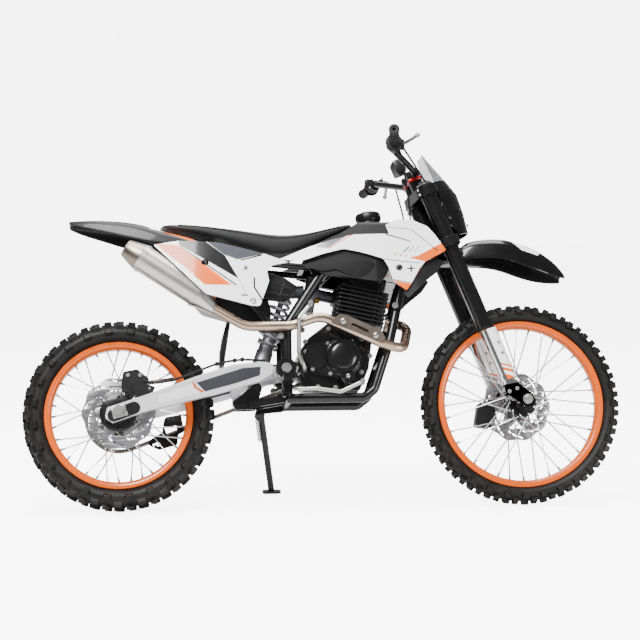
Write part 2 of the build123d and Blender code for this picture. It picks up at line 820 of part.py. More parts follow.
barrel_axis = Vector(sin(radians(CYLINDER_TILT)), 0, cos(radians(CYLINDER_TILT)))
barrel_plane = Plane(
    origin=(CYLINDER_X, 0, CYLINDER_Z),
    x_dir=(cos(radians(CYLINDER_TILT)), 0, -sin(radians(CYLINDER_TILT))),
    z_dir=barrel_axis,
)
with BuildPart() as cylinder:
    with BuildSketch(barrel_plane):
        RectangleRounded(126, 116, 20)
    extrude(amount=140)
    with BuildSketch(*[barrel_plane.offset(8 + FIN_PITCH * fin) for fin in range(FIN_COUNT)]):
        RectangleRounded(172, 148, 14)
    extrude(amount=FIN_THICKNESS)
    with BuildSketch(barrel_plane.offset(140)):
        RectangleRounded(140, 110, 18)
    extrude(amount=34)
    with BuildSketch(barrel_plane.offset(INTAKE_RISE - 24)):
        with Locations((-INTAKE_REACH / 2 - 20, INTAKE_LINE)):
            Rectangle(INTAKE_REACH - 40, 56)
    extrude(amount=48)
    with BuildSketch(barrel_plane.offset(-30)):
        RectangleRounded(116, 108, 14)
    extrude(amount=32)
    with BuildSketch(side_plane(200)):
        Polygon(*CASE, align=None)
    extrude(amount=400, mode=Mode.SUBTRACT)

# Intake
intake_way = Vector(-cos(radians(CYLINDER_TILT)), 0, sin(radians(CYLINDER_TILT)))
intake_face = barrel_plane.from_local_coords(Vector(-INTAKE_REACH, INTAKE_LINE, INTAKE_RISE))
boot_start = intake_face + intake_way * 96
boot_end = Vector(AIRBOX_FRONT, INTAKE_LINE + 12, 738)
boot, boot_length = along_plane(boot_start, boot_end)
with BuildPart() as carburettor:
    with BuildSketch(Plane(intake_face, z_dir=intake_way)):
        Circle(20)
    extrude(amount=52)
    with BuildSketch(Plane(intake_face + intake_way * 48, z_dir=intake_way)):
        Circle(29)
    extrude(amount=48)
    with BuildSketch(Plane(intake_face + intake_way * 74, x_dir=intake_way, z_dir=(0.218, 0, 0.976))):
        RectangleRounded(44, 50, 10)
    extrude(amount=52)
    with BuildSketch(Plane(intake_face + intake_way * 74, x_dir=intake_way, z_dir=(-0.218, 0, -0.976))):
        RectangleRounded(44, 50, 10)
    extrude(amount=70)
    with BuildSketch(boot):
        Circle(22)
    extrude(amount=boot_length + 12)
    with BuildSketch(cross_plane(AIRBOX_FRONT + FIT)):
        with Locations((0, 740)):
            Rectangle(300, 300)
    extrude(amount=-100, mode=Mode.SUBTRACT)

AIRBOX = (
    (336, 700),
    (352, 640),
    (440, 640),
    (AIRBOX_FRONT, 700),
    (AIRBOX_FRONT, 800),
    (360, 822),
    (336, 800),
)
with BuildPart() as airbox:
    with BuildSketch(side_plane(62)) as box:
        Polygon(*AIRBOX, align=None)
        fillet(box.vertices(), 12)
    extrude(amount=124)
    with BuildSketch(side_plane(45)):
        Polygon((366, 644), (372, 644), (346, 480), (340, 480), align=None)
    extrude(amount=90)

# Exhaust
PIPE = (
    (886, -34, 614),
    (964, -40, 608),
    (930, -136, 510),
    (856, -PIPE_SIDE, 530),
    (660, -PIPE_SIDE, 622),
    (560, -142, 590),
    (412, -140, 590),
    (312, -134, 650),
)
with BuildPart() as exhaust_header:
    with BuildLine():
        pipe = FilletPolyline(*PIPE, radius=(40, 34, 60, 80, 90, 90))
    with BuildSketch(Plane(pipe @ 0, z_dir=pipe % 0)):
        Circle(HEADER_RADIUS)
    sweep(path=pipe)
    with BuildSketch(Plane(pipe @ 0, z_dir=pipe % 0)):
        Circle(HEADER_RADIUS + 10)
    extrude(amount=8)
    pipe_end = pipe @ 1
    pipe_way = pipe % 1

SHIELD = ((687, 595), (718, 623), (741, 620), (855, 568), (869, 540), (849, 530), (729, 579))
SHIELD_BOLTS = ((730, 599), (836, 551))
SHIELD_FACE = 171.0
with BuildPart() as heat_shield:
    with BuildSketch(side_plane(WALL - SHIELD_FACE)) as plate:
        Polygon(*SHIELD, align=None)
        fillet(plate.vertices(), 5)
        with Locations((784, 575)):
            SlotOverall(62, 14, rotation=-25, mode=Mode.SUBTRACT)
    extrude(amount=WALL)
    with BuildSketch(side_plane(-PIPE_SIDE)):
        with Locations(*SHIELD_BOLTS):
            Circle(9)
    extrude(amount=SHIELD_FACE - PIPE_SIDE)
    add(exhaust_header.part, mode=Mode.SUBTRACT)

body_rear = Vector(75, SILENCER_LINE, 827)
body_front = Vector(265, SILENCER_LINE, 701)
muffler, muffler_length = along_plane(body_rear, body_front)
with BuildPart() as silencer:
    with BuildSketch(muffler):
        Circle(SILENCER_RADIUS)
    extrude(amount=muffler_length)
    with BuildSketch(muffler.offset(muffler_length)):
        Circle(SILENCER_RADIUS)
    with BuildSketch(Plane(pipe_end + pipe_way * FIT, z_dir=pipe_way)):
        Circle(HEADER_RADIUS + 2)
    loft()
    with BuildSketch(muffler):
        Circle(SILENCER_RADIUS - 1)
    with BuildSketch(muffler.offset(-58)):
        Circle(28)
    loft()
    with BuildSketch(muffler.offset(2), muffler.offset(muffler_length - 16)):
        Circle(SILENCER_RADIUS + 2)
    extrude(amount=14)
    with BuildSketch(muffler.offset(-70)):
        Circle(19)
    extrude(amount=60, mode=Mode.SUBTRACT)

# Fuel tank saddled over the frame beams
TANK_SIDE = (
    (612, 812),
    (668, 772),
    (755, 756),
    (862, 736),
    (886, 764),
    (902, 822),
    (968, 850),
    (950, 938),
    (910, 952),
    (800, 950),
    (735, 908),
    (625, 858),
)
TANK_CROSS = ((-140, 700), (-140, 826), (-94, 956), (94, 956), (140, 826), (140, 700))
TANK_PLAN = (
    (600, -106),
    (740, -124),
    (850, -140),
    (975, -132),
    (975, 132),
    (850, 140),
    (740, 124),
    (600, 106),
)
with BuildPart() as fuel_tank:
    with BuildSketch(side_plane(160)) as tank_side:
        Polygon(*TANK_SIDE, align=None)
        fillet(tank_side.vertices(), 10)
    extrude(amount=320)
    with BuildSketch(cross_plane(590)) as tank_cross:
        Polygon(*TANK_CROSS, align=None)
        fillet(tank_cross.vertices(), 24)
    extrude(amount=400, mode=Mode.INTERSECT)
    with BuildSketch(Plane.XY.offset(690)) as tank_plan:
        Polygon(*TANK_PLAN, align=None)
        fillet(tank_plan.vertices(), 30)
    extrude(amount=300, mode=Mode.INTERSECT)
    with BuildSketch(side_plane(TANK_TUNNEL)):
        Polygon((590, 690), (590, 815), (668, 826), (770, 895), (1000, 950), (1000, 690), align=None)
    extrude(amount=2 * TANK_TUNNEL, mode=Mode.SUBTRACT)
    with BuildSketch(Plane.XY.offset(940)):
        with Locations((845, 0)):
            Circle(36)
    extrude(amount=46)
    with BuildSketch(Plane.XY.offset(985)):
        with Locations((845, 0)):
            Circle(14)
    extrude(amount=24)

# Shrouds: a curved wall trimmed to its outline
SHROUD = (
    (530, 820),
    (625, 860),
    (775, 900),
    (898, 900),
    (884, 932),
    (925, 952),
    (977, 947),
    (1024, 924),
    (1046, 895),
    (1081, 837),
    (993, 784),
    (957, 720),
    (940, 694),
    (898, 727),
    (884, 786),
    (868, 814),
    (800, 838),
    (742, 852),
    (597, 808),
)


class ShroudSeat(NamedTuple):
    """A round boss between the tank and the shroud."""

    x: float
    z: float
    inner: float
    outer: float


SHROUD_SEATS = (ShroudSeat(720, 868, 98, 129), ShroudSeat(840, 880, 98, 140))
SHROUD_SEAT_RADIUS = 9.0
# Bow of the shroud seen from above, at its middle level: x and half width
SHROUD_BOW = ((520, 118), (800, 154), (1090, 180))
SHROUD_LEVEL = 800.0
SHROUD_BASE = 590.0


def make_wing(side, outside, inside, outline, corner):
    """A curved wall beside the tank, trimmed to an outline seen from the side.

    outside and inside are its faces' depths below the shroud's outer face.
    """
    lift = SHROUD_LEVEL - SHROUD_BASE
    with BuildPart() as wing:
        with BuildSketch(Plane.XY.offset(SHROUD_BASE)):
            with BuildLine():
                outer, inner = [
                    ThreePointArc(
                        *[(x, side * (y + lift * SHROUD_SLOPE - depth)) for x, y in SHROUD_BOW]
                    )
                    for depth in (outside, inside)
                ]
                Line(outer @ 0, inner @ 0)
                Line(outer @ 1, inner @ 1)
            make_face()
        extrude(amount=2 * lift, dir=Vector(0, -side * SHROUD_SLOPE, 1).normalized())
        with BuildSketch(side_plane(300)) as rim:
            Polygon(*outline, align=None)
            fillet(rim.vertices(), corner)
        extrude(amount=600, mode=Mode.INTERSECT)
    return wing.part


def make_shroud(side):
    """One tank shroud with its bosses, on the given side."""
    with BuildPart() as shroud:
        add(make_wing(side, 0.0, WALL, SHROUD, 6))
        for seat in SHROUD_SEATS:
            with BuildSketch(side_plane(max(side * seat.inner, side * seat.outer))):
                with Locations((seat.x, seat.z)):
                    Circle(SHROUD_SEAT_RADIUS)
            extrude(amount=seat.outer - seat.inner)
        add(fuel_tank.part, mode=Mode.SUBTRACT)
    return shroud.part


SCOOP = (
    (932, 680),
    (943, 664),
    (960, 684),
    (998, 720),
    (1052, 762),
    (1082, 792),
    (1062, 850),
    (975, 800),
    (930, 720),
)
with BuildPart() as air_scoops:
    for side in SIDES:
        add(make_wing(side, WALL, 2 * WALL, SCOOP, 5))

shroud_right = make_shroud(-1)
shroud_left = make_shroud(1)

# Seat
SEAT_SIDE = (
    (136, 938),
    (140, 957),
    (271, 946),
    (449, 923),
    (540, 912),
    (614, 917),
    (742, 950),
    (789, 962),
    (796, 955),
    (735, 915),
    (625, 866),
    (530, 828),
    (401, 866),
    (270, 914),
)
SEAT_PLAN = ((130, -62), (270, -98), (480, -110), (590, -104), (740, -74), (800, -46))
with BuildPart() as seat:
    with BuildSketch(side_plane(130)) as seat_side:
        Polygon(*SEAT_SIDE, align=None)
    extrude(amount=260)
    with BuildSketch(Plane.XY.offset(800)) as seat_plan:
        Polygon(*SEAT_PLAN, *[(x, -y) for x, y in reversed(SEAT_PLAN)], align=None)
        fillet(seat_plan.vertices(), 16)
    extrude(amount=200, mode=Mode.INTERSECT)

# Side panels
PANEL = (
    (114, 868),
    (200, 880),
    (330, 872),
    (477, 836),
    (576, 804),
    (522, 796),
    (484, 752),
    (494, 738),
    (458, 648),
    (356, 670),
    (282, 690),
)


def make_panel(side):
    """One side panel below the seat on the given side."""
    tilt = Vector(0, -side * PANEL_SLOPE, 1).normalized()
    spread = 200 * PANEL_SLOPE
    with BuildPart() as panel:
        with BuildSketch(Plane.XY.offset(560)):
            with BuildLine():
                outer = ThreePointArc(
                    (100, side * (156 + spread)),
                    (300, side * (170 + spread)),
                    (590, side * (126 + spread)),
                )
                inner = ThreePointArc(
                    (100, side * (156 + spread - WALL)),
                    (300, side * (170 + spread - WALL)),
                    (590, side * (126 + spread - WALL)),
                )
                Line(outer @ 0, inner @ 0)
                Line(outer @ 1, inner @ 1)
            make_face()
        extrude(amount=360, dir=tilt)
        with BuildSketch(side_plane(300)) as rim:
            Polygon(*PANEL, align=None)
            fillet(rim.vertices(), 6)
        extrude(amount=600, mode=Mode.INTERSECT)
    return panel.part


side_panel_right = make_panel(-1)
side_panel_left = make_panel(1)


class Arch(NamedTuple):
    """One cross-section of a mudguard."""

    x: float
    half: float
    top: float
    low: float


REAR_GUARD = (
    Arch(-164, 42, 971, 958),
    Arch(-60, 74, 972, 926),
    Arch(60, 92, 962, 890),
    Arch(128, 98, 934, 880),
    Arch(320, 96, 888, 862),
)
with BuildPart() as rear_fender:
    for arch in REAR_GUARD:
        with BuildSketch(cross_plane(arch.x)):
            Polygon(*arch_section(arch.half, arch.top, arch.low, WALL), align=None)
    loft(ruled=True)

FRONT_GUARD = (
    Arch(1072, 48, 838, 822),
    Arch(1138, 66, 858, 826),
    Arch(1170, 74, 898, 828),
    Arch(1300, 92, 903, 826),
    Arch(1425, 86, 856, 776),
    Arch(1512, 40, 780, 762),
)
with BuildPart() as front_fender:
    for arch in FRONT_GUARD:
        with BuildSketch(cross_plane(arch.x)):
            Polygon(*arch_section(arch.half, arch.top, arch.low, WALL), align=None)
    loft(ruled=True)

# Steering: clamps, stem, fork and bars
fork_spots = [(FORK_OFFSET, side * FORK_HALF_SPACING) for side in SIDES]
with BuildPart() as triple_clamps:
    for middle in (LOWER_CLAMP, TOP_CLAMP):
        with BuildSketch(STEER.offset(middle - CLAMP_HALF)):
            Circle(32)
            with Locations(*fork_spots):
                Circle(FORK_TUBE_RADIUS + 11)
            make_hull()
        extrude(amount=2 * CLAMP_HALF)
    with BuildSketch(STEER.offset(LOWER_CLAMP)):
        Circle(STEM_RADIUS - FIT)
    extrude(amount=TOP_CLAMP - LOWER_CLAMP)
    with BuildSketch(STEER.offset(TOP_CLAMP)):
        Circle(18)
    extrude(amount=CLAMP_HALF + 10)
    with BuildSketch(STEER.offset(LOWER_CLAMP - 50)):
        with Locations(*fork_spots):
            Circle(FORK_TUBE_RADIUS + FIT / 2)
    extrude(amount=TOP_CLAMP - LOWER_CLAMP + 100, mode=Mode.SUBTRACT)

with BuildPart() as fork_tubes:
    with BuildSketch(STEER.offset(FORK_TUBE_LOW)):
        with Locations(*fork_spots):
            Circle(FORK_TUBE_RADIUS)
    extrude(amount=FORK_TUBE_TOP - FORK_TUBE_LOW)
    with BuildSketch(STEER.offset(FORK_TUBE_LOW)):
        with Locations(*fork_spots):
            Circle(FORK_TUBE_RADIUS + 3)
    extrude(amount=18)
    with BuildSketch(STEER.offset(FORK_TUBE_TOP)):
        with Locations(*fork_spots):
            RegularPolygon(20, 6)
    extrude(amount=10)
    with BuildSketch(STEER.offset(FORK_TUBE_LOW)):
        with Locations(*fork_spots):
            Circle(FORK_LEG_RADIUS + FIT)
    extrude(amount=120, mode=Mode.SUBTRACT)

lug_plane = Plane(origin=STEER_ORIGIN, x_dir=FORWARD, z_dir=(0, -1, 0))
with BuildPart() as fork_legs:
    with BuildSketch(STEER.offset(40)):
        with Locations(*fork_spots):
            Circle(FORK_LEG_RADIUS)
    extrude(amount=FORK_TUBE_LOW + 60)
    with BuildSketch(STEER.offset(GUARD_LOW + 2)):
        with Locations(*fork_spots):
            Circle(FORK_LEG_RADIUS + 6)
    extrude(amount=14)
    for side in SIDES:
        with BuildSketch(lug_plane.offset(-side * FORK_HALF_SPACING - 22)):
            with Locations((FORK_OFFSET, 52)):
                Circle(FORK_LEG_RADIUS + 3)
            with Locations((FORK_OFFSET + AXLE_LEAD, 0)):
                Circle(24)
            make_hull()
        extrude(amount=44)
    with BuildSketch(lug_plane.offset(-200)):
        with Locations((FORK_OFFSET + AXLE_LEAD, 0)):
            Circle(FRONT_AXLE_RADIUS + FIT / 2)
    extrude(amount=400, mode=Mode.SUBTRACT)

guard_radius = FORK_LEG_RADIUS + 6 + FIT
with BuildPart() as fork_guards:
    with BuildSketch(STEER.offset(GUARD_LOW)):
        with Locations(*fork_spots):
            Circle(guard_radius + WALL)
            Circle(guard_radius, mode=Mode.SUBTRACT)
        with Locations((FORK_OFFSET - 31, 0)):
            Rectangle(50, 400, mode=Mode.SUBTRACT)
    extrude(amount=FORK_TUBE_LOW - GUARD_LOW - 12)

axle_line = (FRONT.x, FRONT_Z)
lug_inner = FORK_HALF_SPACING - 22
with BuildPart() as front_axle:
    with BuildSketch(side_plane(FORK_HALF_SPACING + 24)):
        with Locations(axle_line):
            Circle(FRONT_AXLE_RADIUS)
    extrude(amount=2 * (FORK_HALF_SPACING + 24))
    for side in SIDES:
        with BuildSketch(side_plane(side * (FORK_HALF_SPACING + 26) + 4)):
            with Locations(axle_line):
                RegularPolygon(16, 6)
        extrude(amount=8)
        start = (FRONT.hub_left + DISC_THICKNESS if side > 0 else FRONT.hub_right) + 2
        with BuildSketch(side_plane(side * (start + lug_inner) / 2 + (lug_inner - start) / 2)):
            with Locations(axle_line):
                Circle(FRONT_AXLE_RADIUS + 5)
        extrude(amount=lug_inner - start)

# Brake calipers straddling their discs
front_disc_mid = FRONT.hub_left + DISC_THICKNESS / 2
hanger_face = FORK_HALF_SPACING - FORK_LEG_RADIUS - FIT
with BuildPart() as front_caliper:
    with BuildSketch(side_plane(front_disc_mid + 22)) as body:
        Polygon((1192, 276), (1206, 352), (1252, 366), (1264, 330), (1244, 268), align=None)
        fillet(body.vertices(), 10)
    extrude(amount=44)
    with BuildSketch(side_plane(front_disc_mid + 6)):
        with Locations(axle_line):
            Circle(FRONT_DISC_RADIUS + 6)
    extrude(amount=12, mode=Mode.SUBTRACT)
    with BuildSketch(side_plane(hanger_face)):
        Polygon((1206, 352), (1252, 366), (1296, 392), (1290, 350), (1252, 300), align=None)
    extrude(amount=hanger_face - front_disc_mid - DISC_THICKNESS / 2 - 5)

rear_disc_mid = -REAR.hub_right - DISC_THICKNESS / 2
with BuildPart() as rear_caliper:
    with BuildSketch(side_plane(rear_disc_mid + 22)) as body:
        Polygon((8, 398), (14, 452), (60, 460), (100, 428), (84, 388), (40, 372), align=None)
        fillet(body.vertices(), 10)
    extrude(amount=44)
    with BuildSketch(side_plane(rear_disc_mid + 6)):
        with Locations((0, REAR_Z)):
            Circle(REAR_DISC_RADIUS + 6)
    extrude(amount=12, mode=Mode.SUBTRACT)
    with BuildSketch(side_plane(-ARM_INNER)):
        Polygon((40, 400), (84, 412), (118, 400), (110, 381), (60, 365), align=None)
    extrude(amount=14)

# Handlebar, grips and hand controls
BARS = (
    (-66, BAR_HALF, BAR_HEIGHT + BAR_END_RISE),
    (-48, 212, BAR_HEIGHT + BAR_BEND_RISE),
    (BAR_FORWARD, 96, BAR_HEIGHT),
    (BAR_FORWARD, -96, BAR_HEIGHT),
    (-48, -212, BAR_HEIGHT + BAR_BEND_RISE),
    (-66, -BAR_HALF, BAR_HEIGHT + BAR_END_RISE),
)
with BuildPart() as handlebar:
    with BuildLine():
        bar = FilletPolyline(*[steer(f, y, a) for f, y, a in BARS], radius=60)
    with BuildSketch(Plane(bar @ 0, z_dir=bar % 0)):
        Circle(BAR_RADIUS)
    sweep(path=bar)
    for side in SIDES:
        with BuildSketch(STEER.offset(TOP_CLAMP + CLAMP_HALF)):
            with Locations((BAR_FORWARD, side * 42)):
                RectangleRounded(44, 34, 8)
        extrude(amount=BAR_RISE + 20)
    with BuildSketch(Plane(bar @ 0, z_dir=bar % 0), Plane(bar @ 1, z_dir=(bar % 1) * -1)):
        Circle(BAR_BORE)
    extrude(amount=BAR_BORE_DEPTH, mode=Mode.SUBTRACT)
    bar_left = bar @ 0
    bar_right = bar @ 1
    bar_left_way = bar % 0
    bar_right_way = (bar % 1) * -1

with BuildPart() as grips:
    for end, way in ((bar_left, bar_left_way), (bar_right, bar_right_way)):
        with BuildSketch(Plane(end, z_dir=way)):
            Circle(GRIP_RADIUS)
        extrude(amount=GRIP_LENGTH)
        with BuildSketch(Plane(end + way * (GRIP_LENGTH - 6), z_dir=way)):
            Circle(GRIP_RADIUS + 11)
        extrude(amount=6)
        with BuildSketch(Plane(end, z_dir=way)):
            Circle(BAR_RADIUS + FIT / 2)
        extrude(amount=GRIP_LENGTH, mode=Mode.SUBTRACT)

with BuildPart() as hand_controls:
    for end, way, side in ((bar_left, bar_left_way, 1), (bar_right, bar_right_way, -1)):
        perch = end + way * (GRIP_LENGTH + 2)
        with BuildSketch(Plane(perch, z_dir=way)):
            Circle(26 if side < 0 else 20)
        extrude(amount=26)
        with BuildSketch(Plane(perch + way * 30, x_dir=UPWARD, z_dir=way)):
            Circle(19)
            with Locations((0, 0)):
                Rectangle(30, 30)
        extrude(amount=22)
        pivot = perch + way * 42 + FORWARD * 34
        tip = end + way * 10 + FORWARD * 66 - UPWARD * 40
        with BuildSketch(Plane(perch + way * 32, x_dir=way, z_dir=FORWARD)):
            Rectangle(18, 18)
        extrude(amount=44)
        blade, blade_length = along_plane(pivot, tip)
        with BuildSketch(blade):
            Circle(6)
        extrude(amount=blade_length)
        with BuildSketch(Plane(end, z_dir=way)):
            Circle(BAR_RADIUS + FIT / 2)
        extrude(amount=GRIP_LENGTH + 80, mode=Mode.SUBTRACT)

# Front mask with the lamp behind it


class MaskSection(NamedTuple):
    """One level of the front mask, above the lower clamp."""

    along: float
    front: float
    side: float
    half: float


MASK = (
    MaskSection(18, 128, 84, 66),
    MaskSection(86, 139, 66, 92),
    MaskSection(156, 143, 66, 100),
    MaskSection(239, 118, 70, 84),
    MaskSection(329, 88, 76, 44),
)
MASK_STRAPS = ((60, 80), (140, 92))
with BuildPart() as front_mask:
    for level in MASK:
        with BuildSketch(STEER.offset(LOWER_CLAMP + level.along)):
            with BuildLine():
                outer = ThreePointArc(
                    (level.side, -level.half), (level.front, 0), (level.side, level.half)
                )
                inner = ThreePointArc(
                    (level.side, WALL - level.half),
                    (level.front - WALL, 0),
                    (level.side, level.half - WALL),
                )
                Line(outer @ 0, inner @ 0)
                Line(outer @ 1, inner @ 1)
            make_face()
    loft(ruled=True)
    for along, half in MASK_STRAPS:
        with BuildSketch(STEER.offset(LOWER_CLAMP + along)):
            for side in SIDES:
                with Locations((FORK_OFFSET + FORK_TUBE_RADIUS + 8, side * half)):
                    Rectangle(28, 12)
        extrude(amount=16)
    for tube in fork_tubes.part.solids():
        add(tube, mode=Mode.SUBTRACT)

with BuildPart() as headlamp:
    with BuildSketch(STEER.offset(LOWER_CLAMP + 60)):
        with Locations((98, 0)):
            RectangleRounded(36, 84, 14)
    extrude(amount=96)
    with BuildSketch(STEER.offset(LOWER_CLAMP + 78)):
        with Locations((66, 0)):
            Rectangle(40, 60)
    extrude(amount=60)

# Foot pegs and foot controls
peg_root = FRAME_HALF + BEAM_RADIUS + FIT + 2
with BuildPart() as foot_pegs:
    for side in SIDES:
        with BuildSketch(side_plane(side * (peg_root + PEG_LENGTH / 2) + PEG_LENGTH / 2)):
            with Locations((PEG_X, PEG_Z)):
                RectangleRounded(46, 18, 6)
        extrude(amount=PEG_LENGTH)
        with BuildSketch(side_plane(side * (peg_root + 2) + 4)):
            with Locations((PEG_X, PEG_Z)):
                Polygon((-22, 8), (18, 8), (12, -40), (-12, -40), align=None)
        extrude(amount=8)

KICK = ((603, -118.8, 446), (600, -174, 446), (582, -174, 492), (585, -174, 612), (622, -168, 656))
GEAR = ((640, 98.5, 461), (640, 118, 461), (700, 128, 440), (742, 140, 398))
BRAKE = ((565, -peg_root - 6.2, 384), (640, -134, 384), (720, -138, 372), (790, -138, 404))
with BuildPart() as foot_levers:
    for route, reach, bend in ((KICK, -34, 18), (GEAR, 30, 8), (BRAKE, -24, 20)):
        with BuildLine():
            lever = FilletPolyline(*route, radius=bend)
        with BuildSketch(Plane(lever @ 0, z_dir=lever % 0)):
            Circle(7)
        sweep(path=lever)
        tip = lever @ 1
        with BuildSketch(side_plane(tip.Y + max(reach, 0))):
            with Locations((tip.X, tip.Z)):
                Circle(8)
        extrude(amount=abs(reach))

# Side stand, splayed out to the left and forward
stand_leg, stand_reach = along_plane(stand_pivot, stand_foot)
with BuildPart() as side_stand:
    with BuildSketch(stand_inboard.offset(-STAND_BOSS_HALF)):
        Circle(17)
    extrude(amount=2 * STAND_BOSS_HALF)
    with BuildSketch(stand_leg):
        Circle(STAND_RADIUS)
    extrude(amount=stand_reach - 6)
    ground_up = Vector(0, -sin(radians(LEAN)), cos(radians(LEAN)))
    with BuildSketch(Plane(stand_foot, x_dir=(1, 0, 0), z_dir=ground_up)):
        RectangleRounded(64, 44, 14)
    extrude(amount=9)
    with BuildSketch(stand_inboard.offset(-20)):
        Circle(STAND_PIN_RADIUS + FIT)
    extrude(amount=40, mode=Mode.SUBTRACT)

pieces = {
    "main_frame": main_frame.part,
    "subframe": subframe.part,
    "swingarm": swingarm.part,
    "swingarm_pivot": swingarm_pivot.part,
    "rear_axle": rear_axle.part,
    "chain": chain.part,
    "chain_guide": chain_guide.part,
    "shock_absorber": shock_absorber.part,
    "shock_linkage": shock_linkage.part,
    "crankcase": crankcase.part,
    "engine_covers": engine_covers.part,
    "cylinder": cylinder.part,
    "carburettor": carburettor.part,
    "airbox": airbox.part,
    "exhaust_header": exhaust_header.part,
    "heat_shield": heat_shield.part,
    "silencer": silencer.part,
    "fuel_tank": fuel_tank.part,
    "shroud_right": shroud_right,
    "shroud_left": shroud_left,
    "air_scoops": air_scoops.part,
    "seat": seat.part,
    "side_panel_right": side_panel_right,
    "side_panel_left": side_panel_left,
    "rear_fender": rear_fender.part,
    "foot_pegs": foot_pegs.part,
    "foot_levers": foot_levers.part,
    "rear_caliper": rear_caliper.part,
    "side_stand": side_stand.part,
    "triple_clamps": triple_clamps.part,
    "fork_tubes": fork_tubes.part,
    "fork_legs": fork_legs.part,
    "fork_guards": fork_guards.part,
    "front_axle": front_axle.part,
    "front_caliper": front_caliper.part,
    "front_fender": front_fender.part,
    "front_mask": front_mask.part,
    "headlamp": headlamp.part,
    "handlebar": handlebar.part,
    "grips": grips.part,
    "hand_controls": hand_controls.part,
    "front_tyre": front_tyre,
    "front_rim": front_rim,
    "front_hub": front_hub,
    "front_disc": front_disc,
    "rear_tyre": rear_tyre,
    "rear_rim": rear_rim,
    "rear_hub": rear_hub,
    "rear_disc": rear_disc,
    "rear_sprocket": rear_sprocket.part,
}

# Lean the machine onto its stand, then centre it over its footprint
leaned = Compound(children=[piece.moved(Rotation(-LEAN, 0, 0)) for piece in pieces.values()])
box = leaned.bounding_box()
PARKED = Location((-box.center().X, -box.center().Y, -box.min.Z)) * Rotation(-LEAN, 0, 0)

os.makedirs("parts", exist_ok=True)
for label, piece in pieces.items():
    placed = piece.moved(PARKED)
    placed.label = label
    export_step(placed, f"parts/{label}.step")
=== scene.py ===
"""Studio scene of an off-road motorcycle that leans on its side stand.

Pieces are modelled upright, in millimetres, the way the machine is measured in a
workshop: X forward from the rear axle, Y to the rider's left, Z up from the ground.
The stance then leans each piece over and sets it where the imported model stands.
"""

import logging
import math
from collections.abc import Callable, Iterable, Sequence
from dataclasses import dataclass, replace
from enum import Enum

import bmesh
import bpy
from mathutils import Matrix, Vector


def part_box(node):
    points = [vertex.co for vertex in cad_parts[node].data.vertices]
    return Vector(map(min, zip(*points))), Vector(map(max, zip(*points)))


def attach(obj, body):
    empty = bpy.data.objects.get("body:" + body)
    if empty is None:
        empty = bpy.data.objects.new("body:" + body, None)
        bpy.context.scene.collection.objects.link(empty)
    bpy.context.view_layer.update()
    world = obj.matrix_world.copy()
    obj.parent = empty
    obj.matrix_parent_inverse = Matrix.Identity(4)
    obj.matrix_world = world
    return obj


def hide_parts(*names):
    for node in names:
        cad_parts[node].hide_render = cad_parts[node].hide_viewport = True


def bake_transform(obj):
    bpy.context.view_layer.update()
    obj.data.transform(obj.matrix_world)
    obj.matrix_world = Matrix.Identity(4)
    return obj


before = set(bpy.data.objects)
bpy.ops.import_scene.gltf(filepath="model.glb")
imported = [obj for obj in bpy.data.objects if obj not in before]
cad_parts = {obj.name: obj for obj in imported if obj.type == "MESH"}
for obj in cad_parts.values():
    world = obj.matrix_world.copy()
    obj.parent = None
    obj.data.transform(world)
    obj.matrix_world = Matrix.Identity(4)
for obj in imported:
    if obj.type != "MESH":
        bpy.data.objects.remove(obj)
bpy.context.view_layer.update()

LOG = logging.getLogger("motorcycle")
TAU = 2 * math.pi
MM = 0.001
SIDES = (-1, 1)
ACROSS = Vector((0, 1, 0))
RIGHT = Vector((0, -1, 0))

STRIPE_BLUR = 0.0004
SPECULAR = 0.22
COAT_ROUGHNESS = 0.06
BUMP_REACH = 0.0006
WORN_EDGE = 0.0015
DUST_TOP = 0.75
CLOUD_SCALE = 9.0
TONE_RANGE = (0.3, 0.7)
NODE_WELD = 2e-6
PIECE_WELD = 0.001

Point2 = tuple[float, float]
Point3 = tuple[float, float, float]
Colour = tuple[float, float, float]
Loop = list[Point2]
Mesh = bmesh.types.BMesh
Socket = bpy.types.NodeSocket
Tree = bpy.types.NodeTree

LEAN = math.radians(15)
RAKE = math.radians(20.8)
REAR_AXLE = (0, 0, 319.96)
FRONT_AXLE = (1340, 0, 341.61)
STEER_BACK = 61.0
FORWARD = Vector((math.cos(RAKE), 0, math.sin(RAKE)))
UPWARD = Vector((-math.sin(RAKE), 0, math.cos(RAKE)))
STEER_ORIGIN = Vector(FRONT_AXLE) - FORWARD * STEER_BACK


class Body(Enum):
    """Moving bodies of the machine."""

    FRAME = "frame"
    STEERING = "steering"
    FRONT_WHEEL = "front_wheel"
    REAR_WHEEL = "rear_wheel"
    STAND = "side_stand"


class Texture(Enum):
    """Fine structure of a finish."""

    SMOOTH = "smooth"
    GRAINED = "grained"
    CAST = "cast"
    BRUSHED = "brushed"


def srgb(red: int, green: int, blue: int) -> Colour:
    """Linear colour of a screen colour given from 0 to 255, by the usual sRGB curve."""
    shares = [level / 255 for level in (red, green, blue)]
    return tuple(s / 12.92 if s < 0.0405 else ((s + 0.055) / 1.055) ** 2.4 for s in shares)


def steer(ahead: float, lateral: float, along: float) -> Vector:
    """Point given ahead of, beside and up along the steering axis."""
    return STEER_ORIGIN + FORWARD * ahead + UPWARD * along + Vector((0, lateral, 0))


def facing(direction: Vector) -> Matrix:
    """Rotation that takes Z to a direction."""
    return Vector(direction).to_track_quat("Z", "Y").to_matrix().to_4x4()


def side_view(lateral: float) -> Matrix:
    """Placement of a flat outline of X and Z, with its thickness along Y."""
    return Matrix.Translation((0, lateral, 0)) @ Matrix.Rotation(math.pi / 2, 4, "X")


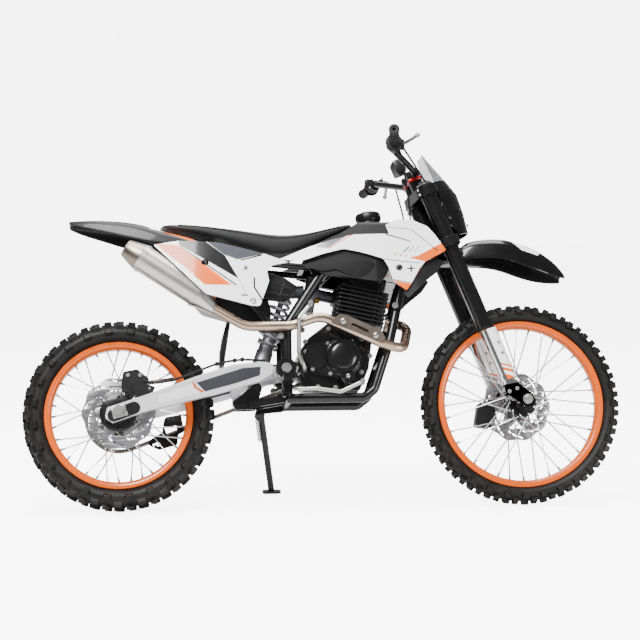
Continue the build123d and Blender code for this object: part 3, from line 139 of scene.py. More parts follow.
def circle(x: float, z: float, radius: float, count: int = 24, turn: float = 0.0) -> Loop:
    """Corners of a round outline.

    Args:
        x: First coordinate of the centre.
        z: Second coordinate of the centre.
        radius: Radius of the outline.
        count: Number of corners.
        turn: Angle of the first corner, in radians.

    Returns:
        The corners in order.
    """
    steps = [turn + TAU * i / count for i in range(count)]
    return [(x + radius * math.cos(a), z + radius * math.sin(a)) for a in steps]


def wave(x: float, z: float, radius: float, depth: float, waves: int, count: int) -> Loop:
    """Round outline whose radius swells and falls.

    Args:
        x: First coordinate of the centre.
        z: Second coordinate of the centre.
        radius: Greatest radius.
        depth: How far the radius falls between two crests.
        waves: Number of crests.
        count: Number of corners.

    Returns:
        The corners in order.
    """
    loop = []
    for i in range(count):
        angle = TAU * i / count
        reach = radius - depth * (0.5 - 0.5 * math.cos(waves * angle))
        loop.append((x + reach * math.cos(angle), z + reach * math.sin(angle)))
    return loop


def belt(first: Point3, second: Point3, count: int = 20) -> Loop:
    """Outline around two circles, given as x, z and radius each.

    Args:
        first: The circle at the start.
        second: The circle at the end.
        count: Corners on each of the two arcs.

    Returns:
        The corners in order.
    """
    run = math.hypot(second[0] - first[0], second[1] - first[1])
    aim = math.atan2(second[1] - first[1], second[0] - first[0])
    lift = math.acos((first[2] - second[2]) / run)
    loop = []
    for (x, z, radius), start, sweep in ((first, lift, TAU - 2 * lift), (second, -lift, 2 * lift)):
        for i in range(count + 1):
            angle = aim + start + sweep * i / count
            loop.append((x + radius * math.cos(angle), z + radius * math.sin(angle)))
    return loop


def arc_through(a: Point2, b: Point2, c: Point2) -> Callable[[float], float]:
    """Second coordinate of the circular arc through three points.

    Args:
        a: First point.
        b: Middle point.
        c: Last point.

    Returns:
        A function from the first coordinate to the second.
    """
    d = 2 * (a[0] * (b[1] - c[1]) + b[0] * (c[1] - a[1]) + c[0] * (a[1] - b[1]))
    squares = [p[0] ** 2 + p[1] ** 2 for p in (a, b, c)]
    middle = (squares[0] * (b[1] - c[1]) + squares[1] * (c[1] - a[1]) + squares[2] * (a[1] - b[1])) / d
    height = (squares[0] * (c[0] - b[0]) + squares[1] * (a[0] - c[0]) + squares[2] * (b[0] - a[0])) / d
    radius = math.hypot(a[0] - middle, a[1] - height)
    side = 1 if b[1] > height else -1
    return lambda x: height + side * math.sqrt(max(radius**2 - (x - middle) ** 2, 0))


def coil(start: Vector, axis: Vector, first: Vector, second: Vector, radius: float, turns: float, count: int,
         length: float) -> list[Vector]:
    """Line of a wound spring.

    Args:
        start: Where it starts on its axis.
        axis: Direction of the axis.
        first: Direction of the first point from the axis.
        second: Direction of the point a quarter turn on.
        radius: Radius of the line.
        turns: Number of turns.
        count: Number of steps.
        length: Length along the axis.

    Returns:
        The points in order.
    """
    route = []
    for i in range(count + 1):
        angle = TAU * turns * i / count
        out = first * math.cos(angle) + second * math.sin(angle)
        route.append(start + axis * (length * i / count) + out * radius)
    return route


def rod(bm: Mesh, start: Point3, end: Point3, radius: float, segments: int = 14,
        tip: float | None = None) -> list[bmesh.types.BMVert]:
    """Adds a round bar or a cone between two points.

    Args:
        bm: Mesh to add to.
        start: Middle of the first end.
        end: Middle of the other end.
        radius: Radius at the first end.
        segments: Sides around it.
        tip: Radius at the other end, if it differs.

    Returns:
        The new vertices.
    """
    a, b = Vector(start), Vector(end)
    made = bmesh.ops.create_cone(
        bm, cap_ends=True, cap_tris=False, segments=segments, radius1=radius,
        radius2=radius if tip is None else tip, depth=(b - a).length,
        matrix=Matrix.Translation((a + b) / 2) @ facing(b - a))
    return made["verts"]


def block(bm: Mesh, centre: Point3, size: Point3, turn: Matrix | None = None,
          rounding: float = 0.0) -> None:
    """Adds a box with rounded edges.

    Args:
        bm: Mesh to add to.
        centre: Middle of the box.
        size: Its three sides.
        turn: Its rotation, if it is turned.
        rounding: Size of the rounded edges.
    """
    place = Matrix.Translation(centre) @ (turn or Matrix.Identity(4)) @ Matrix.Diagonal((*size, 1))
    made = bmesh.ops.create_cube(bm, size=1.0, matrix=place)
    if rounding:
        edges = list({e for v in made["verts"] for e in v.link_edges})
        bmesh.ops.bevel(bm, geom=edges, offset=rounding, offset_type="OFFSET", segments=2, profile=0.5,
                        affect="EDGES", material=-1, clamp_overlap=True)


def lathe(bm: Mesh, profile: Sequence[Point2], origin: Point3, axis: Point3, steps: int = 40,
          closed: bool = False) -> None:
    """Adds a turned shape.

    Args:
        bm: Mesh to add to.
        profile: Pairs of radius and distance along the axis.
        origin: Point that the distances start from.
        axis: Direction of the axis.
        steps: Sides around it.
        closed: True where the profile's last point joins its first.
    """
    place = Matrix.Translation(origin) @ facing(Vector(axis))
    verts = [bm.verts.new(place @ Vector((radius, 0, along))) for radius, along in profile]
    edges = [bm.edges.new(pair) for pair in zip(verts, verts[1:])]
    if closed:
        edges.append(bm.edges.new((verts[-1], verts[0])))
    bmesh.ops.spin(bm, geom=verts + edges, cent=origin, axis=axis, angle=TAU, steps=steps, use_merge=True)


def take_curve(bm: Mesh, curve: bpy.types.Curve, place: Matrix | None = None) -> None:
    """Turns a curve into mesh, adds it to a mesh and removes the curve.

    Args:
        bm: Mesh to add to.
        curve: The finished curve.
        place: Where it goes, if it was drawn at the origin.
    """
    holder = bpy.data.objects.new("draft", curve)
    mesh = bpy.data.meshes.new_from_object(holder)
    if place is not None:
        mesh.transform(place)
    bm.from_mesh(mesh)
    bpy.data.objects.remove(holder)
    bpy.data.meshes.remove(mesh)
    bpy.data.curves.remove(curve)


def plate(bm: Mesh, outline: Loop, thickness: float, place: Matrix, holes: Iterable[Loop] = (),
          edge: float = 0.0, steps: int = 1) -> None:
    """Adds a flat plate with holes and rounded edges.

    Args:
        bm: Mesh to add to.
        outline: Its outer corners.
        thickness: Its whole thickness, centred on the drawing.
        place: Where the drawing lies.
        holes: Outlines of its openings.
        edge: Size of its rounded edges.
        steps: Bands on each rounded edge.
    """
    curve = bpy.data.curves.new("draft", "CURVE")
    curve.dimensions = "2D"
    curve.fill_mode = "BOTH"
    curve.extrude = thickness / 2 - edge
    curve.bevel_depth = edge
    curve.bevel_resolution = steps
    curve.offset = -edge
    for loop in (outline, *holes):
        spline = curve.splines.new("POLY")
        spline.points.add(len(loop) - 1)
        for point, (u, v) in zip(spline.points, loop):
            point.co = (u, v, 0, 1)
        spline.use_cyclic_u = True
    take_curve(bm, curve, place)


def tube(bm: Mesh, route: Sequence[Point3], radius: float, sides: int = 3, detail: int = 6,
         closed: bool = False) -> None:
    """Adds a round tube along a smooth line.

    Args:
        bm: Mesh to add to.
        route: Points that the line is drawn to.
        radius: Radius of the tube.
        sides: Resolution around the tube.
        detail: Resolution along it.
        closed: True for a ring.
    """
    curve = bpy.data.curves.new("draft", "CURVE")
    curve.dimensions = "3D"
    curve.bevel_depth = radius
    curve.bevel_resolution = sides
    curve.use_fill_caps = not closed
    spline = curve.splines.new("NURBS")
    spline.points.add(len(route) - 1)
    for point, place in zip(spline.points, route):
        point.co = (*place, 1)
    spline.order_u = 3
    spline.use_endpoint_u = not closed
    spline.use_cyclic_u = closed
    spline.resolution_u = detail
    take_curve(bm, curve)


def skin(bm: Mesh, sections: Sequence[Sequence[Vector]], closed: bool = False,
         capped: bool = False) -> list[bmesh.types.BMFace]:
    """Adds a surface through a row of sections.

    Args:
        bm: Mesh to add to.
        sections: Points of each section, the same number in each.
        closed: True where each section is a ring.
        capped: True where the two end rings get a face.

    Returns:
        The new faces.
    """
    faces, rows = [], []
    for section in sections:
        verts = [bm.verts.new(p) for p in section]
        pairs = list(zip(verts, verts[1:])) + ([(verts[-1], verts[0])] if closed else [])
        rows.append((verts, [bm.edges.new(pair) for pair in pairs]))
    for (_, first), (_, second) in zip(rows, rows[1:]):
        faces += bmesh.ops.bridge_loops(bm, edges=first + second)["faces"]
    if capped:
        faces += [bm.faces.new(rows[0][0]), bm.faces.new(rows[-1][0])]
    return faces


def panel(bm: Mesh, outline: Loop, surface: Callable[[float, float], float], thickness: float,
          grid: float = 22.0, corner: float = 6.0) -> None:
    """Adds a curved panel cut to a side-view outline.

    Args:
        bm: Empty mesh to fill.
        outline: Corners of X and Z.
        surface: Lateral place of the outer face at an X and a Z.
        thickness: Wall thickness, inwards where the side is positive.
        grid: Distance between the cuts that let the panel bend.
        corner: Rounding of the outline's corners.
    """
    bm.faces.new([bm.verts.new((x, 0, z)) for x, z in outline])
    bmesh.ops.bevel(bm, geom=bm.verts[:], offset=corner, offset_type="OFFSET", segments=3, profile=0.5,
                    affect="VERTICES", material=-1, clamp_overlap=True)
    for axis, values in (((1, 0, 0), [p[0] for p in outline]), ((0, 0, 1), [p[1] for p in outline])):
        place = min(values) + grid
        while place < max(values):
            bmesh.ops.bisect_plane(bm, geom=bm.verts[:] + bm.edges[:] + bm.faces[:], dist=0.01,
                                   plane_co=Vector(axis) * place, plane_no=axis)
            place += grid
    for vert in bm.verts:
        vert.co.y = surface(vert.co.x, vert.co.z)
    bm.normal_update()
    side = 1 if surface(outline[0][0], outline[0][1]) > 0 else -1
    if sum(f.normal.y for f in bm.faces) * side < 0:
        bmesh.ops.reverse_faces(bm, faces=bm.faces[:])
    bmesh.ops.solidify(bm, geom=bm.faces[:], thickness=thickness)


def stamp(bm: Mesh, pattern: Mesh, places: Iterable[Matrix]) -> None:
    """Adds a copy of a pattern at each place.

    Args:
        bm: Mesh to add to.
        pattern: The shape that repeats.
        places: Where the copies go.
    """
    base = bpy.data.meshes.new("draft")
    pattern.to_mesh(base)
    for place in places:
        copy = base.copy()
        copy.transform(place)
        bm.from_mesh(copy)
        bpy.data.meshes.remove(copy)
    bpy.data.meshes.remove(base)


def bolt(bm: Mesh, place: Point3, way: Point3, radius: float = 5.0, height: float = 4.0,
         domed: bool = False) -> None:
    """Adds a flanged hexagon bolt head, or a domed one.

    Args:
        bm: Mesh to add to.
        place: Where the head meets the surface.
        way: Direction that it points out to.
        radius: Radius of the head.
        height: Height of the head.
        domed: True for a round head with a socket.
    """
    start, axis = Vector(place), Vector(way).normalized()
    if domed:
        profile = [(0, height * 0.55), (radius * 0.42, height * 0.55), (radius * 0.46, height),
                   (radius * 0.72, height * 0.86), (radius, height * 0.3), (radius, 0)]
        lathe(bm, profile, tuple(start), tuple(axis), 14)
        return
    rod(bm, start, start + axis * height * 0.35, radius * 1.35, 16)
    head = rod(bm, start + axis * height * 0.35, start + axis * height, radius, 6)
    top = [e for e in {e for v in head for e in v.link_edges}
           if all((v.co - start).dot(axis) > height * 0.9 for v in e.verts)]
    bmesh.ops.bevel(bm, geom=top, offset=radius * 0.14, offset_type="OFFSET", segments=1, profile=0.5,
                    affect="EDGES", material=-1, clamp_overlap=True)


class Nodes:
    """Short way to add and link the nodes of one tree."""

    def __init__(self, tree: Tree) -> None:
        """Keeps the tree that the nodes go to."""
        self.tree = tree

    def feed(self, socket: Socket, value: object) -> None:
        """Links an output to an input, or gives the input a value."""
        if isinstance(value, Socket):
            self.tree.links.new(value, socket)
        else:
            socket.default_value = value

    def add(self, kind: str, values: dict | None = None, **settings: object) -> bpy.types.Node:
        """Adds a node.

        Args:
            kind: Node type, without its common beginning.
            values: Value or linked output of each named or numbered input.
            settings: Properties of the node.

        Returns:
            The node.
        """
        node = self.tree.nodes.new("ShaderNode" + kind)
        for key, value in settings.items():
            setattr(node, key, value)
        for key, value in (values or {}).items():
            self.feed(node.inputs[key], value)
        return node

    def math(self, operation: str, first: object, second: object = 0.0) -> Socket:
        """Result of a sum on two values."""
        return self.add("Math", {0: first, 1: second}, operation=operation).outputs[0]

    def mix(self, share: object, first: object, second: object) -> Socket:
        """Colour between two colours."""
        ends = [(*c, 1) if isinstance(c, tuple) else c for c in (first, second)]
        return self.add("Mix", {0: share, 6: ends[0], 7: ends[1]}, data_type="RGBA").outputs[2]

    def noise(self, vector: object, scale: object, detail: float) -> Socket:
        """Value of a noise texture."""
        return self.add("TexNoise", {"Vector": vector, "Scale": scale, "Detail": detail}).outputs[0]

    def remap(self, value: object, source: tuple, target: tuple = (0, 1)) -> Socket:
        """Value taken from one range to another."""
        return self.add("MapRange", {0: value, 1: source[0], 2: source[1], 3: target[0], 4: target[1]}).outputs[0]

    def group(self, tree: Tree, values: dict) -> bpy.types.Node:
        """Places a shared effect with its own values."""
        return self.add("Group", values, node_tree=tree)

    def close(self, surface: bpy.types.Node) -> None:
        """Leads a surface to the material's output."""
        self.feed(self.add("OutputMaterial").inputs[0], surface.outputs[0])


def open_material(name: str) -> tuple[bpy.types.Material, Nodes, Socket]:
    """Starts a material.

    Args:
        name: Name of the material.

    Returns:
        The material, its nodes and the place on the object.
    """
    material = bpy.data.materials.new(name)
    material.use_nodes = True
    material.node_tree.nodes.clear()
    nodes = Nodes(material.node_tree)
    return material, nodes, nodes.add("TexCoord").outputs["Object"]


class Effects:
    """Shader node groups that more than one finish uses."""

    def __init__(self, stance: "Stance") -> None:
        """Builds each group once."""
        self.grain = self.make_grain()
        self.brushed = self.make_brushed()
        self.wear = self.make_wear()
        self.dust = self.make_dust(stance)
        self.upright = self.make_upright(stance)
        self.edge_side = self.make_edge_side()

    @staticmethod
    def start(name: str, inputs: Sequence[tuple[str, str, object]], outputs: Sequence[tuple[str, str]]
              ) -> tuple[Nodes, bpy.types.Node, bpy.types.Node]:
        """Opens a new group.

        Args:
            name: Name of the group.
            inputs: Name, socket type and first value of each input.
            outputs: Name and socket type of each output.

        Returns:
            The group's nodes, its input node and its output node.
        """
        tree = bpy.data.node_groups.new(name, "ShaderNodeTree")
        for label, kind, value in inputs:
            socket = tree.interface.new_socket(label, in_out="INPUT", socket_type="NodeSocket" + kind)
            socket.default_value = value
        for label, kind in outputs:
            tree.interface.new_socket(label, in_out="OUTPUT", socket_type="NodeSocket" + kind)
        nodes = Nodes(tree)
        return nodes, tree.nodes.new("NodeGroupInput"), tree.nodes.new("NodeGroupOutput")

    def make_grain(self) -> Tree:
        """Fine pits and slow tone changes of moulded, cast and painted surfaces."""
        n, given, out = self.start(
            "surface_grain", [("Vector", "Vector", (0, 0, 0)), ("Scale", "Float", 600), ("Cloud", "Float", 9)],
            [("Height", "Float"), ("Tone", "Float")])
        vector, scale = given.outputs["Vector"], given.outputs["Scale"]
        pits = n.add("TexVoronoi", {"Vector": vector, "Scale": scale}, feature="SMOOTH_F1")
        n.feed(out.inputs["Height"], n.math("ADD", pits.outputs["Distance"], n.noise(vector, scale, 3)))
        n.feed(out.inputs["Tone"], n.noise(vector, given.outputs["Cloud"], 4))
        return n.tree

    def make_brushed(self) -> Tree:
        """Long scratches left by a brush, along one direction."""
        n, given, out = self.start(
            "brush_marks", [("Vector", "Vector", (0, 0, 0)), ("Stretch", "Vector", (8, 900, 900))],
            [("Height", "Float"), ("Tone", "Float")])
        vector = given.outputs["Vector"]
        along = n.add("VectorMath", {0: vector, 1: given.outputs["Stretch"]}, operation="MULTIPLY")
        lines = n.noise(along.outputs[0], 1, 4)
        n.feed(out.inputs["Height"], lines)
        n.feed(out.inputs["Tone"], n.math("MULTIPLY", n.math("ADD", lines, n.noise(vector, 14, 3)), 0.5))
        return n.tree

    def make_wear(self) -> Tree:
        """Mask of the edges where a coat is rubbed thin."""
        n, given, out = self.start(
            "edge_wear", [("Vector", "Vector", (0, 0, 0)), ("Radius", "Float", 0.002), ("Amount", "Float", 0.3)],
            [("Mask", "Float")])
        bevel = n.add("Bevel", {"Radius": given.outputs["Radius"]}, samples=4)
        normal = n.add("NewGeometry").outputs["Normal"]
        close = n.add("VectorMath", {0: bevel.outputs[0], 1: normal}, operation="DOT_PRODUCT")
        edge = n.remap(close.outputs["Value"], (0.985, 0.86))
        broken = n.remap(n.noise(given.outputs["Vector"], 55, 4), (0.45, 0.65))
        n.feed(out.inputs["Mask"], n.math("MULTIPLY", n.math("MULTIPLY", edge, broken), given.outputs["Amount"]))
        return n.tree

    def make_dust(self, stance: "Stance") -> Tree:
        """Mask of dry dust, thicker near the ground."""
        n, given, out = self.start(
            "dust_film", [("Vector", "Vector", (0, 0, 0)), ("Amount", "Float", 0.2), ("Top", "Float", 0.7)],
            [("Mask", "Float")])
        height = n.add("SeparateXYZ", {0: given.outputs["Vector"]}).outputs[2]
        low = n.remap(height, (given.outputs["Top"], stance.floor), (0.15, 1))
        broken = n.remap(n.noise(given.outputs["Vector"], 18, 6), (0.38, 0.7))
        n.feed(out.inputs["Mask"], n.math("MULTIPLY", n.math("MULTIPLY", low, broken), given.outputs["Amount"]))
        return n.tree

    def make_upright(self, stance: "Stance") -> Tree:
        """Takes a place on the leaning machine to the upright one, in metres."""
        n, given, out = self.start("upright_place", [("Vector", "Vector", (0, 0, 0))], [("Vector", "Vector")])
        mapping = n.add("Mapping", {"Vector": given.outputs[0], "Location": stance.unlean_shift(),
                                    "Rotation": (LEAN, 0, 0)}, vector_type="POINT")
        n.feed(out.inputs[0], mapping.outputs[0])
        return n.tree

    def make_edge_side(self) -> Tree:
        """Signed distance from a straight edge of a stripe."""
        n, given, out = self.start(
            "stripe_edge", [("Vector", "Vector", (0, 0, 0)), ("Normal", "Vector", (1, 0, 0)),
                            ("Distance", "Float", 0)], [("Value", "Float")])
        dot = n.add("VectorMath", {0: given.outputs["Vector"], 1: given.outputs["Normal"]}, operation="DOT_PRODUCT")
        n.feed(out.inputs["Value"], n.math("SUBTRACT", dot.outputs["Value"], given.outputs["Distance"]))
        return n.tree


@dataclass(frozen=True)
class Stripe:
    """A straight-edged patch of colour, drawn on the upright side view."""

    colour: Colour
    outline: tuple[Point2, ...]

    @classmethod
    def line(cls, colour: Colour, start: Point2, end: Point2, width: float) -> "Stripe":
        """Thin straight line between two points."""
        run = Vector((end[0] - start[0], end[1] - start[1])).normalized() * (width / 2)
        corners = [(p[0] + s * run.y, p[1] - s * run.x) for p, s in ((start, 1), (end, 1), (end, -1), (start, -1))]
        return cls(colour, tuple(corners))

    def mask(self, nodes: Nodes, effects: Effects, place: Socket) -> Socket:
        """Mask of the patch.

        Args:
            nodes: Nodes of the material.
            effects: The shared groups.
            place: Upright place, in metres.

        Returns:
            One inside the patch and zero outside.
        """
        sides = list(zip(self.outline, self.outline[1:] + self.outline[:1]))
        turn = math.copysign(1, sum(a[0] * b[1] - b[0] * a[1] for a, b in sides))
        inside = None
        for a, b in sides:
            run = Vector((b[0] - a[0], b[1] - a[1])).normalized() * turn
            normal = (-run.y, 0, run.x)
            reach = (normal[0] * a[0] + normal[2] * a[1]) * MM
            edge = nodes.group(effects.edge_side, {"Vector": place, "Normal": normal, "Distance": reach}).outputs[0]
            inside = edge if inside is None else nodes.math("MINIMUM", inside, edge)
        return nodes.remap(inside, (-STRIPE_BLUR, STRIPE_BLUR))


@dataclass(frozen=True)
class Finish:
    """One surface finish, with its colour, gloss and fine structure."""

    name: str
    slot: str
    colour: Colour
    shade: Colour
    roughness: tuple[float, float] = (0.35, 0.5)
    metallic: float = 0.0
    texture: Texture = Texture.SMOOTH
    grain: float = 500.0
    depth: float = 0.1
    stretch: Point3 = (8, 900, 900)
    coat: float = 0.0
    sheen: float = 0.0
    wear: float = 0.0
    wear_colour: Colour = (0.5, 0.5, 0.5)
    dust: float = 0.0
    stripes: tuple[Stripe, ...] = ()

    def make(self, effects: Effects) -> bpy.types.Material:
        """Builds the material.

        Args:
            effects: The shared groups.

        Returns:
            The finished material.
        """
        material, n, place = open_material(self.name)
        if self.texture is Texture.BRUSHED:
            structure = n.group(effects.brushed, {"Vector": place, "Stretch": self.stretch})
        else:
            structure = n.group(effects.grain, {"Vector": place, "Scale": self.grain, "Cloud": CLOUD_SCALE})
        tone = structure.outputs["Tone"]
        colour = n.mix(tone, self.colour, self.shade)
        rough = n.remap(tone, TONE_RANGE, self.roughness)
        if self.stripes:
            upright = n.group(effects.upright, {"Vector": place}).outputs[0]
            for stripe in self.stripes:
                colour = n.mix(stripe.mask(n, effects, upright), colour, stripe.colour)
        if self.wear:
            worn = n.group(effects.wear, {"Vector": place, "Radius": WORN_EDGE, "Amount": self.wear}).outputs[0]
            colour = n.mix(worn, colour, self.wear_colour)
        if self.dust:
            film = n.group(effects.dust, {"Vector": place, "Amount": self.dust, "Top": DUST_TOP}).outputs[0]
            colour = n.mix(film, colour, DUST)
            rough = n.math("MAXIMUM", rough, n.math("MULTIPLY", film, 0.9))
        bump = n.add("Bump", {"Height": structure.outputs["Height"], "Strength": self.depth, "Distance": BUMP_REACH})
        n.close(n.add("BsdfPrincipled", {
            "Base Color": colour, "Roughness": rough, "Normal": bump.outputs[0], "Metallic": self.metallic,
            "Specular IOR Level": SPECULAR, "Coat Weight": self.coat, "Coat Roughness": COAT_ROUGHNESS,
            "Sheen Weight": self.sheen}))
        return material


@dataclass(frozen=True)
class Lens:
    """Smoked plastic that lets some light through."""

    name: str
    slot: str
    colour: Colour
    roughness: float = 0.05
    alpha: float = 0.4

    def make(self, effects: Effects) -> bpy.types.Material:
        """Builds the material.

        Args:
            effects: The shared groups.

        Returns:
            The finished material.
        """
        material, n, place = open_material(self.name)
        tone = n.group(effects.grain, {"Vector": place, "Scale": 120, "Cloud": 6.0}).outputs["Tone"]
        colour = n.mix(tone, self.colour, tuple(c * 0.8 for c in self.colour))
        bump = n.add("Bump", {"Height": tone, "Strength": 0.03, "Distance": 0.001})
        n.close(n.add("BsdfPrincipled", {
            "Base Color": colour, "Roughness": self.roughness, "Normal": bump.outputs[0], "Alpha": self.alpha,
            "Coat Weight": 0.5}))
        return material


class Stance:
    """Where the leaning machine stands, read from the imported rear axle."""

    def __init__(self) -> None:
        """Reads the axle's box."""
        low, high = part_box("rear_axle")
        turn = Matrix.Rotation(-LEAN, 4, "X")
        self.shift = (Vector(low) + Vector(high)) / 2 - turn @ (Vector(REAR_AXLE) * MM)
        self.floor = 0.0
        self.matrix = Matrix.Translation(self.shift) @ turn @ Matrix.Scale(MM, 4)

    def place(self, point: Point3) -> Vector:
        """Where an upright point in millimetres is on the leaning machine, in metres."""
        return self.matrix @ Vector(point)

    def unlean_shift(self) -> Vector:
        """Translation that follows the turn back to upright."""
        return -(Matrix.Rotation(LEAN, 4, "X") @ self.shift)


ORANGE = srgb(208, 88, 0)
WHITE = srgb(238, 238, 238)
BLACK = srgb(9, 9, 10)
DUST = srgb(126, 112, 96)


class Shop:
    """Makes finished pieces out of meshes and keeps the finishes."""

    def __init__(self) -> None:
        """Sets up the stance and the shared effects."""
        self.stance = Stance()
        self.effects = Effects(self.stance)
        self.made: dict[str, bpy.types.Material] = {}

    def material(self, finish: Finish | Lens) -> bpy.types.Material:
        """Material of a finish, built once."""
        if finish.name not in self.made:
            self.made[finish.name] = finish.make(self.effects)
        return self.made[finish.name]

    def dress(self, node: str, finish: Finish | Lens) -> None:
        """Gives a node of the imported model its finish."""
        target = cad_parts[node]
        target.data.materials.clear()
        target.data.materials.append(self.material(finish))
        LOG.info("dressed %s in %s", node, finish.name)

    def piece(self, bm: Mesh, name: str, body: Body, finish: Finish | Lens,
              replaces: Sequence[str] = (), sharp: float = 38.0, leaned: bool = False, bevel: float = 0.0,
              smooth: int = 0, turn_out: bool = True, bend: tuple[Vector, Vector] | None = None) -> bpy.types.Object:
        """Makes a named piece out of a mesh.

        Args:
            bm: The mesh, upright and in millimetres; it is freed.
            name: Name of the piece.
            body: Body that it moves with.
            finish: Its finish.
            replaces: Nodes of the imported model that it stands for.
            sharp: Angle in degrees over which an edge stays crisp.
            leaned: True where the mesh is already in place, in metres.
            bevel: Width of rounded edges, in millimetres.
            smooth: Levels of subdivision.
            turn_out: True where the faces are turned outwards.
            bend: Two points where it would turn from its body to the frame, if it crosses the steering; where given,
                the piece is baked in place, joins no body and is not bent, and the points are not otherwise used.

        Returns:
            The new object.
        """
        bmesh.ops.remove_doubles(bm, verts=bm.verts[:], dist=PIECE_WELD * (MM if leaned else 1))
        if turn_out:
            bmesh.ops.recalc_face_normals(bm, faces=bm.faces[:])
        if not leaned:
            bmesh.ops.transform(bm, matrix=self.stance.matrix, verts=bm.verts[:])
        limit = math.radians(sharp)
        for face in bm.faces:
            face.smooth = True
        for edge in bm.edges:
            edge.smooth = smooth > 0 or bevel > 0 or edge.calc_face_angle(0) < limit
        mesh = bpy.data.meshes.new(name)
        bm.to_mesh(mesh)
        bm.free()
        obj = bpy.data.objects.new(name, mesh)
        bpy.context.scene.collection.objects.link(obj)
        mesh.materials.append(self.material(finish))
        if smooth:
            levels = obj.modifiers.new("smooth", "SUBSURF")
            levels.levels = levels.render_levels = smooth
        if bevel:
            rounded = obj.modifiers.new("rounded", "BEVEL")
            rounded.width = bevel * MM
            rounded.segments = 2
            rounded.limit_method = "ANGLE"
            rounded.angle_limit = limit
            obj.modifiers.new("even", "WEIGHTED_NORMAL")
        if bend:
            [self.stance.place(point) for point in bend]
            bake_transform(obj)
        else:
            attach(obj, body.value)
        if replaces:
            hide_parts(*replaces)
        LOG.info("made %s on %s", name, body.value)
        return obj

    def soften(self, node: str, body: Body, finish: Finish | Lens, bevel: float) -> bpy.types.Object:
        """Stands a copy with rounded edges in for a node.

        Args:
            node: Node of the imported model.
            body: Body that it moves with.
            finish: Its finish.
            bevel: Width of the rounded edges, in millimetres.

        Returns:
            The new object.
        """
        bm = bmesh.new()
        bm.from_mesh(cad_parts[node].data)
        bmesh.ops.remove_doubles(bm, verts=bm.verts[:], dist=NODE_WELD)
        bmesh.ops.dissolve_limit(bm, angle_limit=math.radians(1), verts=bm.verts[:], edges=bm.edges[:])
        return self.piece(bm, node + "_shell", body, finish, (node,), 32, leaned=True, bevel=bevel, turn_out=False)


